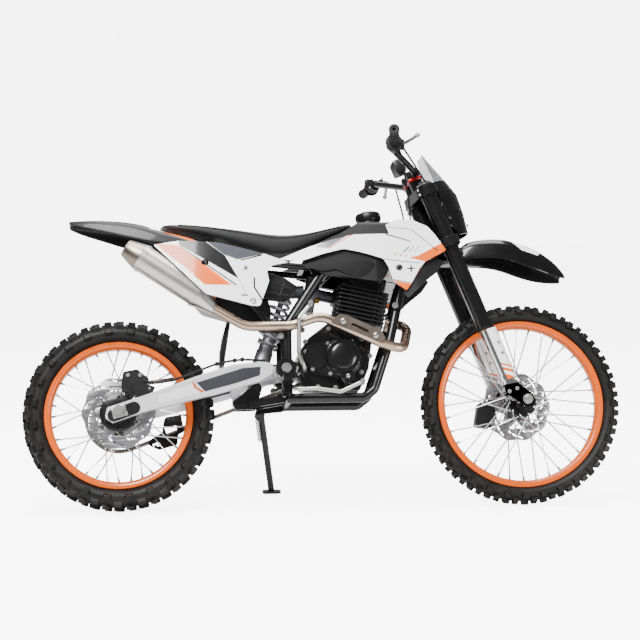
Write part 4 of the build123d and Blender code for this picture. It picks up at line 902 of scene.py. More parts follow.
class Finishes:
    """The finishes of this machine."""

    frame_black = Finish("frame_black", "frame_paint", srgb(11, 11, 12), srgb(17, 17, 18), (0.24, 0.36), coat=0.3,
                         grain=420.0, depth=0.05, wear=0.2, wear_colour=srgb(70, 70, 72))
    cast_alloy = Finish("cast_alloy", "alloy", srgb(170, 171, 174), srgb(140, 141, 145), (0.38, 0.55), 0.9,
                        Texture.CAST, grain=900.0, depth=0.16)
    dark_cast = Finish("dark_cast", "alloy", srgb(92, 92, 96), srgb(66, 66, 70), (0.38, 0.55), 0.8, Texture.CAST,
                       grain=900.0, depth=0.16)
    zinc = Finish("zinc", "steel", srgb(190, 190, 188), srgb(150, 150, 148), (0.24, 0.42), 1, grain=700.0, depth=0.05)
    chain_steel = Finish("chain_steel", "chain_steel", srgb(150, 146, 138), srgb(96, 92, 86), (0.3, 0.5), 1,
                         grain=600.0, depth=0.06, dust=0.15)
    engine_black = Finish("engine_black", "engine_paint", srgb(9, 9, 10), srgb(14, 14, 15), (0.2, 0.32), 0,
                          Texture.CAST, grain=700.0, depth=0.07, coat=0.6, wear=0.12, wear_colour=srgb(80, 80, 82))
    fin_black = Finish("fin_black", "engine_paint", srgb(11, 11, 12), srgb(19, 19, 20), (0.36, 0.5), 0,
                       Texture.CAST, grain=800.0, depth=0.15, wear=0.1, wear_colour=srgb(80, 80, 82))
    header = Finish("header_pipe", "header_metal", srgb(196, 176, 158), srgb(150, 122, 100), (0.2, 0.34), 1,
                    grain=300.0, depth=0.03)
    shield = Finish("heat_shield_dark", "shield_metal", srgb(150, 138, 126), srgb(112, 102, 94), (0.26, 0.4), 1,
                    grain=500.0, depth=0.06)
    stainless = Finish("stainless", "silencer_metal", srgb(206, 204, 200), srgb(170, 168, 164), (0.24, 0.38), 1,
                       Texture.BRUSHED, depth=0.1, stretch=(500, 40, 500))
    black_plastic = Finish("black_plastic", "black_plastic", srgb(10, 10, 11), srgb(15, 15, 16), (0.34, 0.46), 0,
                           Texture.GRAINED, grain=1100.0, depth=0.06, coat=0.15)
    gloss_black = Finish("gloss_black", "black_plastic", srgb(7, 7, 8), srgb(11, 11, 12), (0.16, 0.24), 0,
                         grain=500.0, depth=0.02, coat=0.5)
    tank_black = Finish("tank_black", "black_plastic", srgb(9, 9, 10), srgb(14, 14, 15), (0.4, 0.52), 0,
                        Texture.GRAINED, grain=1100.0, depth=0.1)
    white_plastic = Finish("white_plastic", "white_plastic", srgb(240, 240, 240), srgb(228, 229, 230), (0.2, 0.3), 0,
                           grain=500.0, depth=0.02, coat=0.4)
    seat_cover = Finish("seat_cover", "seat_cover", srgb(9, 9, 10), srgb(16, 16, 17), (0.5, 0.65), 0,
                        Texture.GRAINED, grain=620.0, depth=0.45, sheen=0.15)
    tyre = Finish("tyre_rubber", "tyre_rubber", srgb(7, 7, 7), srgb(13, 13, 13), (0.45, 0.62), 0, Texture.GRAINED,
                  grain=700.0, depth=0.2, dust=0.04)
    orange_rim = Finish("orange_rim", "rim_orange", srgb(206, 84, 0), srgb(192, 76, 0), (0.24, 0.36), 0,
                        grain=600.0, depth=0.03, coat=0.6)
    hub_black = Finish("hub_black", "hub_alloy", srgb(13, 13, 14), srgb(22, 22, 23), (0.28, 0.42), 0.2, Texture.CAST,
                       grain=700.0, depth=0.08, coat=0.3)
    spoke_steel = Finish("spoke_steel", "steel", srgb(215, 215, 215), srgb(180, 180, 180), (0.18, 0.3), 1,
                         grain=500.0, depth=0.03)
    disc_steel = Finish("disc_steel", "disc_steel", srgb(142, 142, 144), srgb(112, 112, 114), (0.3, 0.46), 0.9,
                        grain=900.0, depth=0.1)
    fork_black = Finish("fork_black", "fork_black", srgb(9, 9, 10), srgb(14, 14, 15), (0.22, 0.32), 0.1, grain=500.0,
                        depth=0.03, coat=0.5)
    chrome = Finish("chrome", "fork_chrome", srgb(222, 222, 224), srgb(205, 205, 208), (0.06, 0.12), 1, grain=400.0,
                    depth=0.01, stripes=(
                        Stripe(BLACK, ((1230, 384), (1330, 402), (1410, 402), (1410, 260), (1230, 260))),))
    grip = Finish("grip_rubber", "grip_rubber", srgb(11, 11, 12), srgb(18, 18, 19), (0.5, 0.65), 0, Texture.GRAINED,
                  grain=900.0, depth=0.2)
    spring_grey = Finish("spring_grey", "steel", srgb(168, 168, 174), srgb(140, 140, 146), (0.3, 0.42), 0.4,
                         grain=500.0, depth=0.04, coat=0.4)
    brass = Finish("brass", "steel", srgb(190, 150, 80), srgb(150, 112, 56), (0.28, 0.4), 1, grain=500.0, depth=0.05)
    swingarm = Finish("swingarm_alloy", "alloy", srgb(220, 220, 222), srgb(196, 197, 200), (0.3, 0.44), 0.5,
                      Texture.BRUSHED, depth=0.1, stretch=(14, 700, 700), stripes=(
                          Stripe(srgb(236, 237, 239), ((127, 373), (238, 409), (267, 378), (133, 344))),
                          Stripe(srgb(58, 58, 62), ((251, 410), (279, 380), (379, 406), (458, 431), (461, 460),
                                                    (401, 456))),
                          Stripe(ORANGE, ((237, 411), (244, 411), (252, 395), (244, 393))),
                          Stripe(ORANGE, ((244, 393), (252, 395), (276, 381), (268, 377)))))
    guard_white = replace(white_plastic, name="guard_white", stripes=(
        Stripe(ORANGE, ((1250, 462), (1292, 454), (1292, 448), (1251, 456))),
        Stripe(ORANGE, ((1257, 448), (1297, 439), (1299, 430), (1259, 438))),
        Stripe(ORANGE, ((1263, 426), (1303, 415), (1320, 380), (1280, 380))),
        Stripe.line(BLACK, (1241, 531), (1257, 531), 3), Stripe.line(BLACK, (1249, 539), (1249, 523), 3),
        Stripe.line(BLACK, (1253, 496), (1269, 496), 3), Stripe.line(BLACK, (1261, 504), (1261, 488), 3)))
    red = Finish("red_anodised", "alloy", srgb(176, 22, 24), srgb(150, 14, 18), (0.25, 0.4), 0.5, grain=600.0,
                 depth=0.04, coat=0.3)
    reflector = Finish("lamp_reflector", "lamp", srgb(190, 190, 194), srgb(150, 150, 156), (0.1, 0.2), 0.9, grain=200.0,
                       depth=0.05)
    smoked = Lens("smoked_screen", "lamp", srgb(70, 72, 76), 0.08, 0.55)


PLAIN = (
    (Finishes.frame_black, ("main_frame", "subframe", "side_stand", "handlebar")),
    (Finishes.zinc, ("swingarm_pivot", "rear_axle", "foot_levers", "front_axle")),
    (Finishes.header, ("exhaust_header",)),
    (Finishes.shield, ("heat_shield",)),
    (Finishes.stainless, ("silencer",)),
    (Finishes.fork_black, ("fork_tubes",)),
    (Finishes.chrome, ("fork_legs",)),
    (Finishes.guard_white, ("fork_guards",)),
)

SOFTENED = (
    ("swingarm", Body.FRAME, Finishes.swingarm, 2.5),
    ("crankcase", Body.FRAME, Finishes.engine_black, 3),
    ("engine_covers", Body.FRAME, Finishes.engine_black, 3),
    ("cylinder", Body.FRAME, Finishes.fin_black, 1.2),
    ("carburettor", Body.FRAME, Finishes.dark_cast, 2),
    ("airbox", Body.FRAME, Finishes.black_plastic, 3),
    ("fuel_tank", Body.FRAME, Finishes.tank_black, 5),
    ("shock_linkage", Body.FRAME, Finishes.frame_black, 1),
    ("foot_pegs", Body.FRAME, Finishes.frame_black, 1.5),
    ("rear_caliper", Body.FRAME, Finishes.fin_black, 2),
    ("triple_clamps", Body.STEERING, Finishes.frame_black, 3),
    ("front_caliper", Body.STEERING, Finishes.fin_black, 2),
    ("headlamp", Body.STEERING, Finishes.reflector, 3),
)


@dataclass
class Knob:
    """One place in the repeating row of a tyre's tread."""

    phase: float
    lateral: float
    along: float
    across: float


@dataclass
class SpokedWheel:
    """Wire wheel with its knobbly tyre."""

    shop: Shop
    name: str
    body: Body
    axle: Point3
    tip: float
    tyre_half: float
    rim: float
    rim_half: float
    flange: float
    flange_half: float
    barrel: float
    hub_right: float
    hub_left: float
    bore: float
    rows: int
    tread: Sequence[Knob]
    knob_height: float = 13.0
    spokes: int = 36
    lacing: float = math.radians(52)
    weave: float = 3.4
    stagger: float = 0.06
    steepest: float = 1.15
    root: float = 1.5

    def profile(self, shrink: float) -> list[Point2]:
        """Half of the tyre's outline from crown to bead, as lateral and radius, sunk by a depth."""
        rise, half, crown = self.tip - self.rim, self.tyre_half, self.tip - shrink
        return [(0, crown), (0.3 * half, crown - 0.01 * rise), (0.56 * half, crown - 0.06 * rise),
                (0.8 * half - shrink * 0.15, crown - 0.17 * rise),
                (0.95 * half - shrink * 0.25, self.tip - shrink * 0.6 - 0.36 * rise),
                (0.96 * half - shrink * 0.1, self.tip - 0.58 * rise), (0.88 * half, self.tip - 0.78 * rise),
                (self.rim_half + 1.5, self.rim + 4), (self.rim_half - 4.3, self.rim + 1),
                (self.rim_half - 4.3, self.rim - 11)]

    def make_tyre(self) -> None:
        """Builds the carcass and its knobs."""
        bm = bmesh.new()
        half = self.profile(self.knob_height)
        ring = [(r, y) for y, r in half] + [(r, -y) for y, r in reversed(half[1:])]
        lathe(bm, ring, self.axle, ACROSS, 96, closed=True)
        self.shop.piece(bm, self.name + "_carcass", self.body, Finishes.tyre, (self.name + "_tyre",), 50)
        pattern = bmesh.new()
        made = bmesh.ops.create_cube(pattern, size=1.0)
        top = [v for v in made["verts"] if v.co.z > 0]
        bmesh.ops.scale(pattern, vec=(0.86, 0.86, 1), verts=top)
        edges = [e for e in pattern.edges if all(v.co.z > 0 for v in e.verts)]
        bmesh.ops.bevel(pattern, geom=edges, offset=0.07, offset_type="OFFSET", segments=1, profile=0.5,
                        affect="EDGES", material=-1)
        bm = bmesh.new()
        stamp(bm, pattern, self.knob_places())
        pattern.free()
        self.shop.piece(bm, self.name + "_knobs", self.body, Finishes.tyre, (), 30)

    def knob_places(self) -> list[Matrix]:
        """Placement of each knob on the carcass."""
        places = []
        outer = self.profile(self.knob_height)
        for row in range(self.rows):
            for knob in self.tread:
                for side in SIDES if knob.lateral else (1,):
                    angle = TAU * (row + knob.phase + self.stagger * side) / self.rows
                    offset = knob.lateral * self.tyre_half
                    low, high = next((p, q) for p, q in zip(outer, outer[1:]) if q[0] >= offset or q == outer[5])
                    share = (offset - low[0]) / max(high[0] - low[0], 1e-6)
                    radius = low[1] + (high[1] - low[1]) * share
                    slope = min(math.atan2(low[1] - high[1], high[0] - low[0]), self.steepest)
                    spin = Matrix.Translation(self.axle) @ Matrix.Rotation(-angle, 4, "Y")
                    seat = Matrix.Translation((0, side * offset, radius)) @ Matrix.Rotation(-side * slope, 4, "X")
                    rise = Matrix.Translation((0, 0, self.knob_height * 0.5 - self.root))
                    size = Matrix.Diagonal((knob.along, knob.across, self.knob_height + 2 * self.root, 1))
                    places.append(spin @ seat @ rise @ size)
        return places

    def make_rim(self) -> None:
        """Builds the rim."""
        half, edge = self.rim_half, self.rim
        side = [(edge - 12.3, half - 4), (edge - 3, half - 4), (edge - 0.6, half - 3), (edge, half - 1.5),
                (edge - 1.5, half), (edge - 8, half - 0.4), (edge - 15, half - 1.2), (edge - 18.5, half - 4),
                (edge - 21, half - 8), (edge - 23.6, half - 12), (edge - 24, 0)]
        ring = side + [(r, -y) for r, y in reversed(side[:-1])]
        bm = bmesh.new()
        lathe(bm, ring, self.axle, ACROSS, 120, closed=True)
        self.shop.piece(bm, self.name + "_rim_hoop", self.body, Finishes.orange_rim, (self.name + "_rim",), 44)

    def spoke_lines(self) -> list[tuple[Vector, Vector]]:
        """Hub end and rim end of each spoke."""
        lines = []
        centre = Vector(self.axle)
        inner, outer = self.flange - 6, self.rim - 23.0
        for index in range(self.spokes):
            side = 1 if index % 2 == 0 else -1
            lead = 1 if (index // 2) % 2 == 0 else -1
            rim_angle = TAU * index / self.spokes
            hub_angle = rim_angle + lead * self.lacing
            foot = Vector((inner * math.cos(hub_angle), side * self.flange_half + self.weave * lead,
                           inner * math.sin(hub_angle)))
            head = Vector((outer * math.cos(rim_angle), side * 6, outer * math.sin(rim_angle)))
            lines.append((centre + foot, centre + head))
        return lines

    def make_spokes(self) -> None:
        """Builds the spokes with their heads and nipples."""
        wires, nipples = bmesh.new(), bmesh.new()
        for foot, head in self.spoke_lines():
            run = (head - foot).normalized()
            rod(wires, foot, head, 2.2, 8)
            rod(wires, foot - run * 3, foot + run * 3, 3.4, 10)
            rod(nipples, head - run * 15, head + run * 2, 3.1, 6, 4.2)
        self.shop.piece(wires, self.name + "_spokes", self.body, Finishes.spoke_steel)
        self.shop.piece(nipples, self.name + "_nipples", self.body, Finishes.zinc)

    def hub_end(self, reach: float) -> list[Point2]:
        """Outline of one end of the hub, from its bore over the flange to its waist."""
        half, flange, barrel = self.flange_half, self.flange, self.barrel
        return [(self.bore, reach), (barrel - 6, reach), (barrel - 3, reach - 4), (barrel, half + 5),
                (flange - 2, half + 4), (flange, half + 2), (flange, half - 2), (flange - 2, half - 4),
                (flange - 14, half - 7), (barrel + 2, half - 14), (barrel, half - 20)]

    def make_hub(self) -> None:
        """Builds the hub shell with its two flanges."""
        profile = [(r, -y) for r, y in self.hub_end(self.hub_right)] + self.hub_end(self.hub_left)[::-1]
        bm = bmesh.new()
        lathe(bm, profile, self.axle, ACROSS, 64, closed=True)
        self.shop.piece(bm, self.name + "_hub_shell", self.body, Finishes.hub_black, (self.name + "_hub",), 40)

    def build(self) -> None:
        """Builds the whole wheel."""
        self.make_tyre()
        self.make_rim()
        self.make_spokes()
        self.make_hub()


@dataclass
class Bodywork:
    """Shrouds, side panels, tank covers, mudguards and air scoops."""

    shop: Shop
    wall: float = 3.5
    shroud_base: float = 600.0
    shroud_slope: float = 0.2
    shroud_line: tuple[Point2, Point2, Point2] = ((520, 158), (800, 194), (1090, 220))
    panel_base: float = 560.0
    panel_slope: float = 0.25
    panel_line: tuple[Point2, Point2, Point2] = ((100, 206), (300, 220), (590, 176))
    shroud: Sequence[Point2] = (
        (530, 820), (625, 858), (700, 881), (775, 899), (896, 899), (884, 930), (925, 950), (977, 945), (1024, 922),
        (1046, 893), (1080, 836), (1012, 800), (992, 782), (957, 720), (941, 697), (900, 730), (886, 782), (870, 812),
        (800, 836), (742, 850), (672, 834), (597, 810))
    side: Sequence[Point2] = (
        (116, 866), (200, 878), (330, 871), (477, 835), (560, 808), (505, 795), (486, 772), (492, 738), (459, 650),
        (432, 650), (356, 670), (284, 690))
    rear_arches: Sequence[tuple[float, ...]] = (
        (-164, 42, 970, 959), (-120, 58, 971, 942), (-60, 73, 971, 927), (60, 91, 962, 892), (128, 97, 934, 881),
        (200, 97, 914, 874), (320, 95, 888, 863))
    front_arches: Sequence[tuple[float, ...]] = (
        (1074, 47, 838, 823), (1138, 65, 858, 827), (1168, 73, 895, 829), (1230, 84, 902, 830), (1300, 91, 902, 826),
        (1360, 90, 884, 800), (1425, 84, 856, 778), (1475, 62, 822, 768), (1511, 39, 781, 764))
    arch_shape: Sequence[Point2] = (
        (-1, 0), (-0.97, 0.36), (-0.92, 0.72), (-0.8, 0.92), (-0.58, 1), (-0.2, 1.02), (0.2, 1.02), (0.58, 1),
        (0.8, 0.92), (0.92, 0.72), (0.97, 0.36), (1, 0))
    cover: Sequence[Point2] = (
        (600, 800), (668, 816), (741, 834), (768, 832), (825, 812), (879, 773), (845, 744), (792, 750), (758, 762),
        (717, 783), (671, 776))
    cover_line: tuple[Point2, Point2, Point2] = ((600, 109), (740, 129), (880, 142))
    scoop: Sequence[Point2] = (
        (1010, 800), (1046, 814), (1074, 800), (1049, 764), (996, 723), (962, 690), (943, 672), (934, 690), (962, 728))
    shroud_screw: Point2 = (921, 778)
    panel_screws: Sequence[tuple[float, float, float, bool]] = ((283, 798, 8.5, True), (436, 664, 7, False))

    def shroud_finish(self) -> Finish:
        """White with an orange band, an orange tip and plain lines."""
        line = Stripe.line
        grey = srgb(88, 88, 94)
        ticks = tuple(Stripe(BLACK, ((937 + 17 * i, 833), (943 + 15 * i, 833), (962 + 16 * i, 853),
                                     (957 + 17 * i, 853))) for i in range(3))
        dashes = tuple(Stripe(ORANGE, ((x, z), (x + 9, z + 4), (x + 12, z + 1), (x + 3, z - 4)))
                       for x, z in ((906, 826), (924, 822), (940, 818)))
        stripes = (
            Stripe(grey, ((647, 858), (704, 888), (768, 903), (690, 853))),
            line(ORANGE, (693, 852), (783, 904), 4),
            Stripe(ORANGE, ((985, 818), (1066, 861), (1086, 837), (1008, 795))),
            Stripe(ORANGE, ((955, 812), (985, 818), (1008, 797))),
            Stripe(ORANGE, ((898, 733), (962, 719), (946, 690))), line(BLACK, (896, 736), (964, 721), 3),
            line(BLACK, (872, 808), (993, 792), 2.8), line(BLACK, (876, 925), (970, 912), 2.6),
            line(BLACK, (970, 912), (1052, 834), 3), Stripe(grey, ((880, 902), (965, 872), (967, 867), (884, 894))),
            line(BLACK, (947, 774), (973, 774), 5), line(BLACK, (960, 787), (960, 761), 5),
            *ticks, *dashes)
        return replace(Finishes.white_plastic, name="shroud_white", stripes=stripes)

    def side_finish(self) -> Finish:
        """White with an orange slash, a black wedge and a grey corner."""
        line = Stripe.line
        stripes = (
            Stripe(ORANGE, ((117, 872), (199, 862), (368, 721), (281, 721))),
            Stripe(srgb(232, 96, 14), ((186, 864), (199, 862), (368, 721), (352, 721))),
            line(WHITE, (150, 838), (246, 758), 2.5), line(BLACK, (206, 854), (384, 720), 4.6),
            Stripe(BLACK, ((199, 890), (265, 892), (347, 826), (391, 743), (199, 862))),
            Stripe(srgb(66, 66, 72), ((262, 898), (480, 834), (390, 811), (345, 828))),
            line(BLACK, (347, 826), (391, 742), 2), line(BLACK, (391, 742), (415, 697), 1.6),
            line(BLACK, (443, 749), (442, 713), 5.6), line(BLACK, (442, 714), (472, 662), 5.6),
            Stripe(BLACK, ((398, 688), (420, 688), (420, 683), (398, 683))),
            line(BLACK, (400, 809), (470, 829), 5), line(BLACK, (408, 776), (424, 787), 4.4),
            line(BLACK, (412, 790), (420, 773), 4.4))
        return replace(Finishes.white_plastic, name="side_panel_white", stripes=stripes)

    def add_panel(self, name: str, outline: Sequence[Point2], reach: Callable[[float, float], float], side: int,
                  finish: Finish, replaces: Sequence[str] = (), bevel: float = 0.9) -> None:
        """Adds one curved panel.

        Args:
            name: Name of the piece.
            outline: Its corners of X and Z.
            reach: How far out its face lies at an X and a Z.
            side: Which side of the machine it is on.
            finish: Its finish.
            replaces: Nodes that it stands for.
            bevel: Width of its rounded edges.
        """
        bm = bmesh.new()
        panel(bm, list(outline), lambda x, z: side * reach(x, z), self.wall)
        self.shop.piece(bm, name, Body.FRAME, finish, replaces, 50, bevel=bevel)

    def make_panels(self) -> None:
        """Builds the shrouds, side panels, scoops and tank covers of both sides, with their screws."""
        shroud_arc, side_arc = arc_through(*self.shroud_line), arc_through(*self.panel_line)
        cover_arc = arc_through(*self.cover_line)

        def shroud(x: float, z: float) -> float:
            """Plain face of the shroud."""
            return shroud_arc(x) - self.shroud_slope * (z - self.shroud_base)

        def wavy(x: float, z: float) -> float:
            """Face of the shroud with its slow swell."""
            return shroud(x, z) + 1.5 * math.sin((x - 600) / 90)

        def flank(x: float, z: float) -> float:
            """Face of the side panel."""
            return side_arc(x) - self.panel_slope * (z - self.panel_base)

        def sunk(x: float, z: float) -> float:
            """Face of the scoop, which falls away behind the shroud."""
            return shroud(x, z) - 9.0 - 0.16 * max(0, x - 985)

        def tank(x: float, z: float) -> float:
            """Face of the tank's cover."""
            return cover_arc(x) + 2.0 - 0.1 * max(0, x - 825) - 0.12 * max(0, 790 - z)

        for hand, side in (("right", -1), ("left", 1)):
            self.add_panel(f"shroud_{hand}_shell", self.shroud, wavy, side, self.shroud_finish(), (f"shroud_{hand}",))
            self.add_panel(f"side_panel_{hand}_shell", self.side, flank, side, self.side_finish(),
                           (f"side_panel_{hand}",))
            self.add_panel(f"air_scoop_{hand}", self.scoop, sunk, side, Finishes.black_plastic, ("air_scoops",))
            self.add_panel(f"tank_cover_{hand}", self.cover, tank, side, Finishes.tank_black, (), 1.6)
            bolts, domes = bmesh.new(), bmesh.new()
            x, z = self.shroud_screw
            bolt(domes, (x, side * (shroud(x, z) - 0.5), z), (0, side, 0.2), 11, 6, domed=True)
            for x, z, radius, domed in self.panel_screws:
                y = flank(x, z)
                rod(domes, (x, side * (y - 2), z), (x, side * (y + 1.4), z), radius + 3.5, 20)
                bolt(domes if domed else bolts, (x, side * (y - 0.5), z), (0, side, 0.25), radius, 5, domed=domed)
            self.shop.piece(domes, f"panel_screws_{hand}", Body.FRAME, Finishes.gloss_black)
            self.shop.piece(bolts, f"panel_bolts_{hand}", Body.FRAME, Finishes.zinc)

    def make_guard(self, name: str, body: Body, arches: Sequence[tuple[float, ...]], finish: Finish) -> None:
        """Builds one mudguard.

        Args:
            name: Node that it stands for.
            body: Body that it moves with.
            arches: Place, half width, crown height and edge height of each section.
            finish: Its finish.
        """
        bm = bmesh.new()
        sections = [[Vector((x, half * u, low + (top - low) * v)) for u, v in self.arch_shape]
                    for x, half, top, low in arches]
        faces = skin(bm, sections)
        bmesh.ops.recalc_face_normals(bm, faces=faces)
        bm.normal_update()
        if sum(f.normal.z for f in bm.faces) < 0:
            bmesh.ops.reverse_faces(bm, faces=bm.faces[:])
        bmesh.ops.solidify(bm, geom=bm.faces[:], thickness=self.wall)
        self.shop.piece(bm, name + "_shell", body, finish, (name,), smooth=2, turn_out=False)

    def rear_finish(self) -> Finish:
        """Satin black with a white and an orange patch below the seat."""
        return replace(Finishes.black_plastic, name="rear_guard_black", stripes=(
            Stripe(ORANGE, ((132, 929), (161, 934), (256, 890), (243, 886))),
            Stripe(WHITE, ((104, 933), (127, 960), (175, 940), (146, 924)))))

    def front_finish(self) -> Finish:
        """Gloss black with a bare white patch near the tip."""
        return replace(Finishes.gloss_black, name="front_guard_black", roughness=(0.16, 0.26), stripes=(
            Stripe(WHITE, ((1294, 914), (1336, 916), (1430, 862), (1410, 838), (1354, 856))),
            Stripe.line(ORANGE, (1352, 884), (1392, 862), 5)))

    def build(self) -> None:
        """Builds all the bodywork."""
        self.make_panels()
        self.make_guard("rear_fender", Body.FRAME, self.rear_arches, self.rear_finish())
        self.make_guard("front_fender", Body.STEERING, self.front_arches, self.front_finish())


@dataclass
class Seat:
    """Long foam seat with a grained cover."""

    shop: Shop
    rows: Sequence[tuple[float, ...]] = (
        (137, 58, 955, 941), (200, 80, 952, 928), (271, 96, 946, 914), (360, 104, 935, 884), (449, 109, 922, 858),
        (530, 107, 911, 832), (614, 100, 915, 864), (690, 86, 935, 898), (742, 73, 949, 921), (788, 50, 960, 951))
    ring: Sequence[Point2] = (
        (-0.94, 0), (-1, 0.3), (-0.97, 0.7), (-0.86, 0.93), (-0.62, 1.01), (-0.25, 1.05), (0.25, 1.05),
        (0.62, 1.01), (0.86, 0.93), (0.97, 0.7), (1, 0.3), (0.94, 0), (0.4, 0), (-0.4, 0))
    welt_spread: float = 0.945
    welt_level: float = 0.8

    def build(self) -> None:
        """Builds the pad and its welt."""
        bm = bmesh.new()
        sections = [[Vector((x, half * u, low + (top - low) * v)) for u, v in self.ring]
                    for x, half, top, low in self.rows]
        skin(bm, sections, closed=True, capped=True)
        pad = self.shop.piece(bm, "seat_pad", Body.FRAME, Finishes.seat_cover, ("seat",), smooth=2)
        welt = bmesh.new()
        for side in SIDES:
            route = [(x, side * half * self.welt_spread, low + (top - low) * self.welt_level)
                     for x, half, top, low in self.rows[1:-1]]
            tube(welt, route, 1.6, 2, 8)
        self.shop.piece(welt, "seat_welt", Body.FRAME, Finishes.black_plastic)


@dataclass
class BrakeDisc:
    """A scalloped brake disc with the arms that carry it."""

    shop: Shop
    name: str
    body: Body
    axle: Point3
    lateral: float
    radius: float
    flange: float
    waves: int = 10
    arms: int = 6
    thickness: float = 4.0
    bore: float = 19.0
    window_share: float = 0.66
    slot_shares: Sequence[float] = (0.745, 0.815, 0.885)
    slot_half: float = 6.0
    slot_lean: float = 1.1
    arm_share: float = 0.72
    rivet_share: float = 0.68
    rivet: Sequence[Point2] = ((0, -4), (4, -4), (5, -3), (5, 3), (4, 4), (0, 4))

    def build(self) -> None:
        """Makes the pierced ring, its arms and its rivets."""
        x, _, z = self.axle
        place = side_view(self.lateral)
        size, slots = self.radius, 3 * self.waves
        holes = [wave(x, z, size * self.window_share, size * 0.04, self.waves, 100)]
        for i in range(slots):
            angle = TAU * i / slots
            reach, lean = size * self.slot_shares[i % 3], angle + self.slot_lean
            spot = Vector((x + reach * math.cos(angle), z + reach * math.sin(angle)))
            run = Vector((math.cos(lean), math.sin(lean))) * self.slot_half
            holes.append(belt((*(spot - run), 2.8), (*(spot + run), 2.79), 6))
        bm = bmesh.new()
        plate(bm, wave(x, z, size, 6, self.waves, 160), self.thickness, place, holes, 0.4)
        plate(bm, wave(x, z, size * self.arm_share, size * 0.3, self.arms, 120), self.thickness - 1, place,
              [circle(x, z, self.bore)], 0.4)
        for u, v in circle(x, z, self.rivet_share * size, self.arms):
            lathe(bm, self.rivet, (u, self.lateral, v), ACROSS, 12)
        self.shop.piece(bm, f"{self.name}_disc_ring", self.body, Finishes.disc_steel, (f"{self.name}_disc",))
        side = math.copysign(1, self.lateral)
        out, edge = (0, side, 0), self.flange
        bm = bmesh.new()
        lathe(bm, [(self.bore, 1.6), (edge, 1.6), (edge, 5), (edge - 4, 7), (34, 8), (self.bore, 8)],
              (x, self.lateral, z), out, 48, True)
        for u, v in circle(x, z, edge - 10, self.arms, TAU / 12):
            bolt(bm, (u, self.lateral + side * 5, v), out, 5, 4.5, domed=True)
        self.shop.piece(bm, f"{self.name}_disc_flange", self.body, Finishes.hub_black)


@dataclass
class Drive:
    """Chain, chain guide and rear sprocket on the left side."""

    shop: Shop
    line: float = 72.0
    rear_radius: float = 108.7
    front_radius: float = 33.2
    shaft: Point2 = (618, 470)
    links: int = 108
    teeth: int = 43
    tooth_tip: float = 100.0
    sprocket_bore: float = 19.0
    window_ring: float = 74.0
    window_radius: float = 15.0
    bolt_ring: float = 40.0
    guide_sides: Point2 = (61.5, 84.5)
    guide_posts: Sequence[Point2] = ((120, 226), (182, 244), (165, 314), (196, 318))
    guide: Sequence[Point2] = (
        (147, 312), (154, 323), (205, 331), (213, 275), (196, 267), (191, 232), (132, 216), (94, 234), (107, 251),
        (141, 272))
    guide_windows: Sequence[Sequence[Point2]] = (
        ((149, 289), (188, 297), (192, 275), (158, 259)), ((107, 234), (128, 242), (132, 227), (115, 223)))

    def make_guide(self) -> None:
        """Makes the two pierced plates of the chain guide and what joins them."""
        bm = bmesh.new()
        for lateral in self.guide_sides:
            plate(bm, list(self.guide), 3, side_view(lateral), [list(w) for w in self.guide_windows], 0.5)
        for x, z in self.guide_posts:
            rod(bm, (x, 60.5, z), (x, 85.5, z), 5, 16)
        self.shop.piece(bm, "chain_guide_plates", Body.FRAME, Finishes.black_plastic, ("chain_guide",))

    def pins(self) -> list[Vector]:
        """Places of the chain's pins, at even steps around it."""
        loop = [Vector(p) for p in belt((REAR_AXLE[0], REAR_AXLE[2], self.rear_radius),
                                        (*self.shaft, self.front_radius), 60)]
        runs = [(b - a).length for a, b in zip(loop, loop[1:] + loop[:1])]
        pitch = sum(runs) / self.links
        spots, done = [], 0.0
        for a, b, run in zip(loop, loop[1:] + loop[:1], runs):
            while len(spots) < self.links and len(spots) * pitch < done + run:
                spots.append(a.lerp(b, (len(spots) * pitch - done) / run))
            done += run
        return spots

    def make_chain(self) -> None:
        """Makes wide and narrow links in turn, with their rollers."""
        pins = self.pins()
        half = (pins[1] - pins[0]).length / 2
        bm = bmesh.new()
        for first, offset, roller, reach in ((0, 7, 2.6, 8), (1, 5, 4.6, 4.2)):
            link = bmesh.new()
            for side in SIDES:
                plate(link, belt((-half, 0, 6.2), (half, 0.001, 6.19), 6), 1.7, side_view(side * offset), (), 0.25)
                for end in SIDES:
                    rod(link, (end * half, 0, 0), (end * half, side * reach, 0), roller, 10)
            places = []
            for i in range(first, self.links, 2):
                a, b = pins[i], pins[(i + 1) % self.links]
                middle = Vector(((a.x + b.x) / 2, self.line, (a.y + b.y) / 2))
                places.append(Matrix.Translation(middle) @ Matrix.Rotation(-math.atan2(b.y - a.y, b.x - a.x), 4, "Y"))
            stamp(bm, link, places)
            link.free()
        self.shop.piece(bm, "chain_links", Body.FRAME, Finishes.chain_steel, ("chain",), turn_out=False)

    def build(self) -> None:
        """Makes the chain, its guide and the toothed rear sprocket."""
        self.make_chain()
        self.make_guide()
        x, _, z = REAR_AXLE
        bm = bmesh.new()
        windows = [circle(u, v, self.window_radius, 20) for u, v in circle(x, z, self.window_ring, 6)]
        plate(bm, wave(x, z, self.tooth_tip, 7, self.teeth, self.teeth * 6), 7, side_view(self.line),
              [circle(x, z, self.sprocket_bore), *windows], 0.6)
        lathe(bm, [(20, 66.2), (50, 66.2), (50, 69), (20, 69)], (x, 0, z), ACROSS, 40, True)
        for u, v in circle(x, z, self.bolt_ring, 6, TAU / 12):
            bolt(bm, (u, self.line + 3.5, v), ACROSS, 6, 6)
        self.shop.piece(bm, "rear_sprocket_teeth", Body.REAR_WHEEL, Finishes.disc_steel, ("rear_sprocket",))


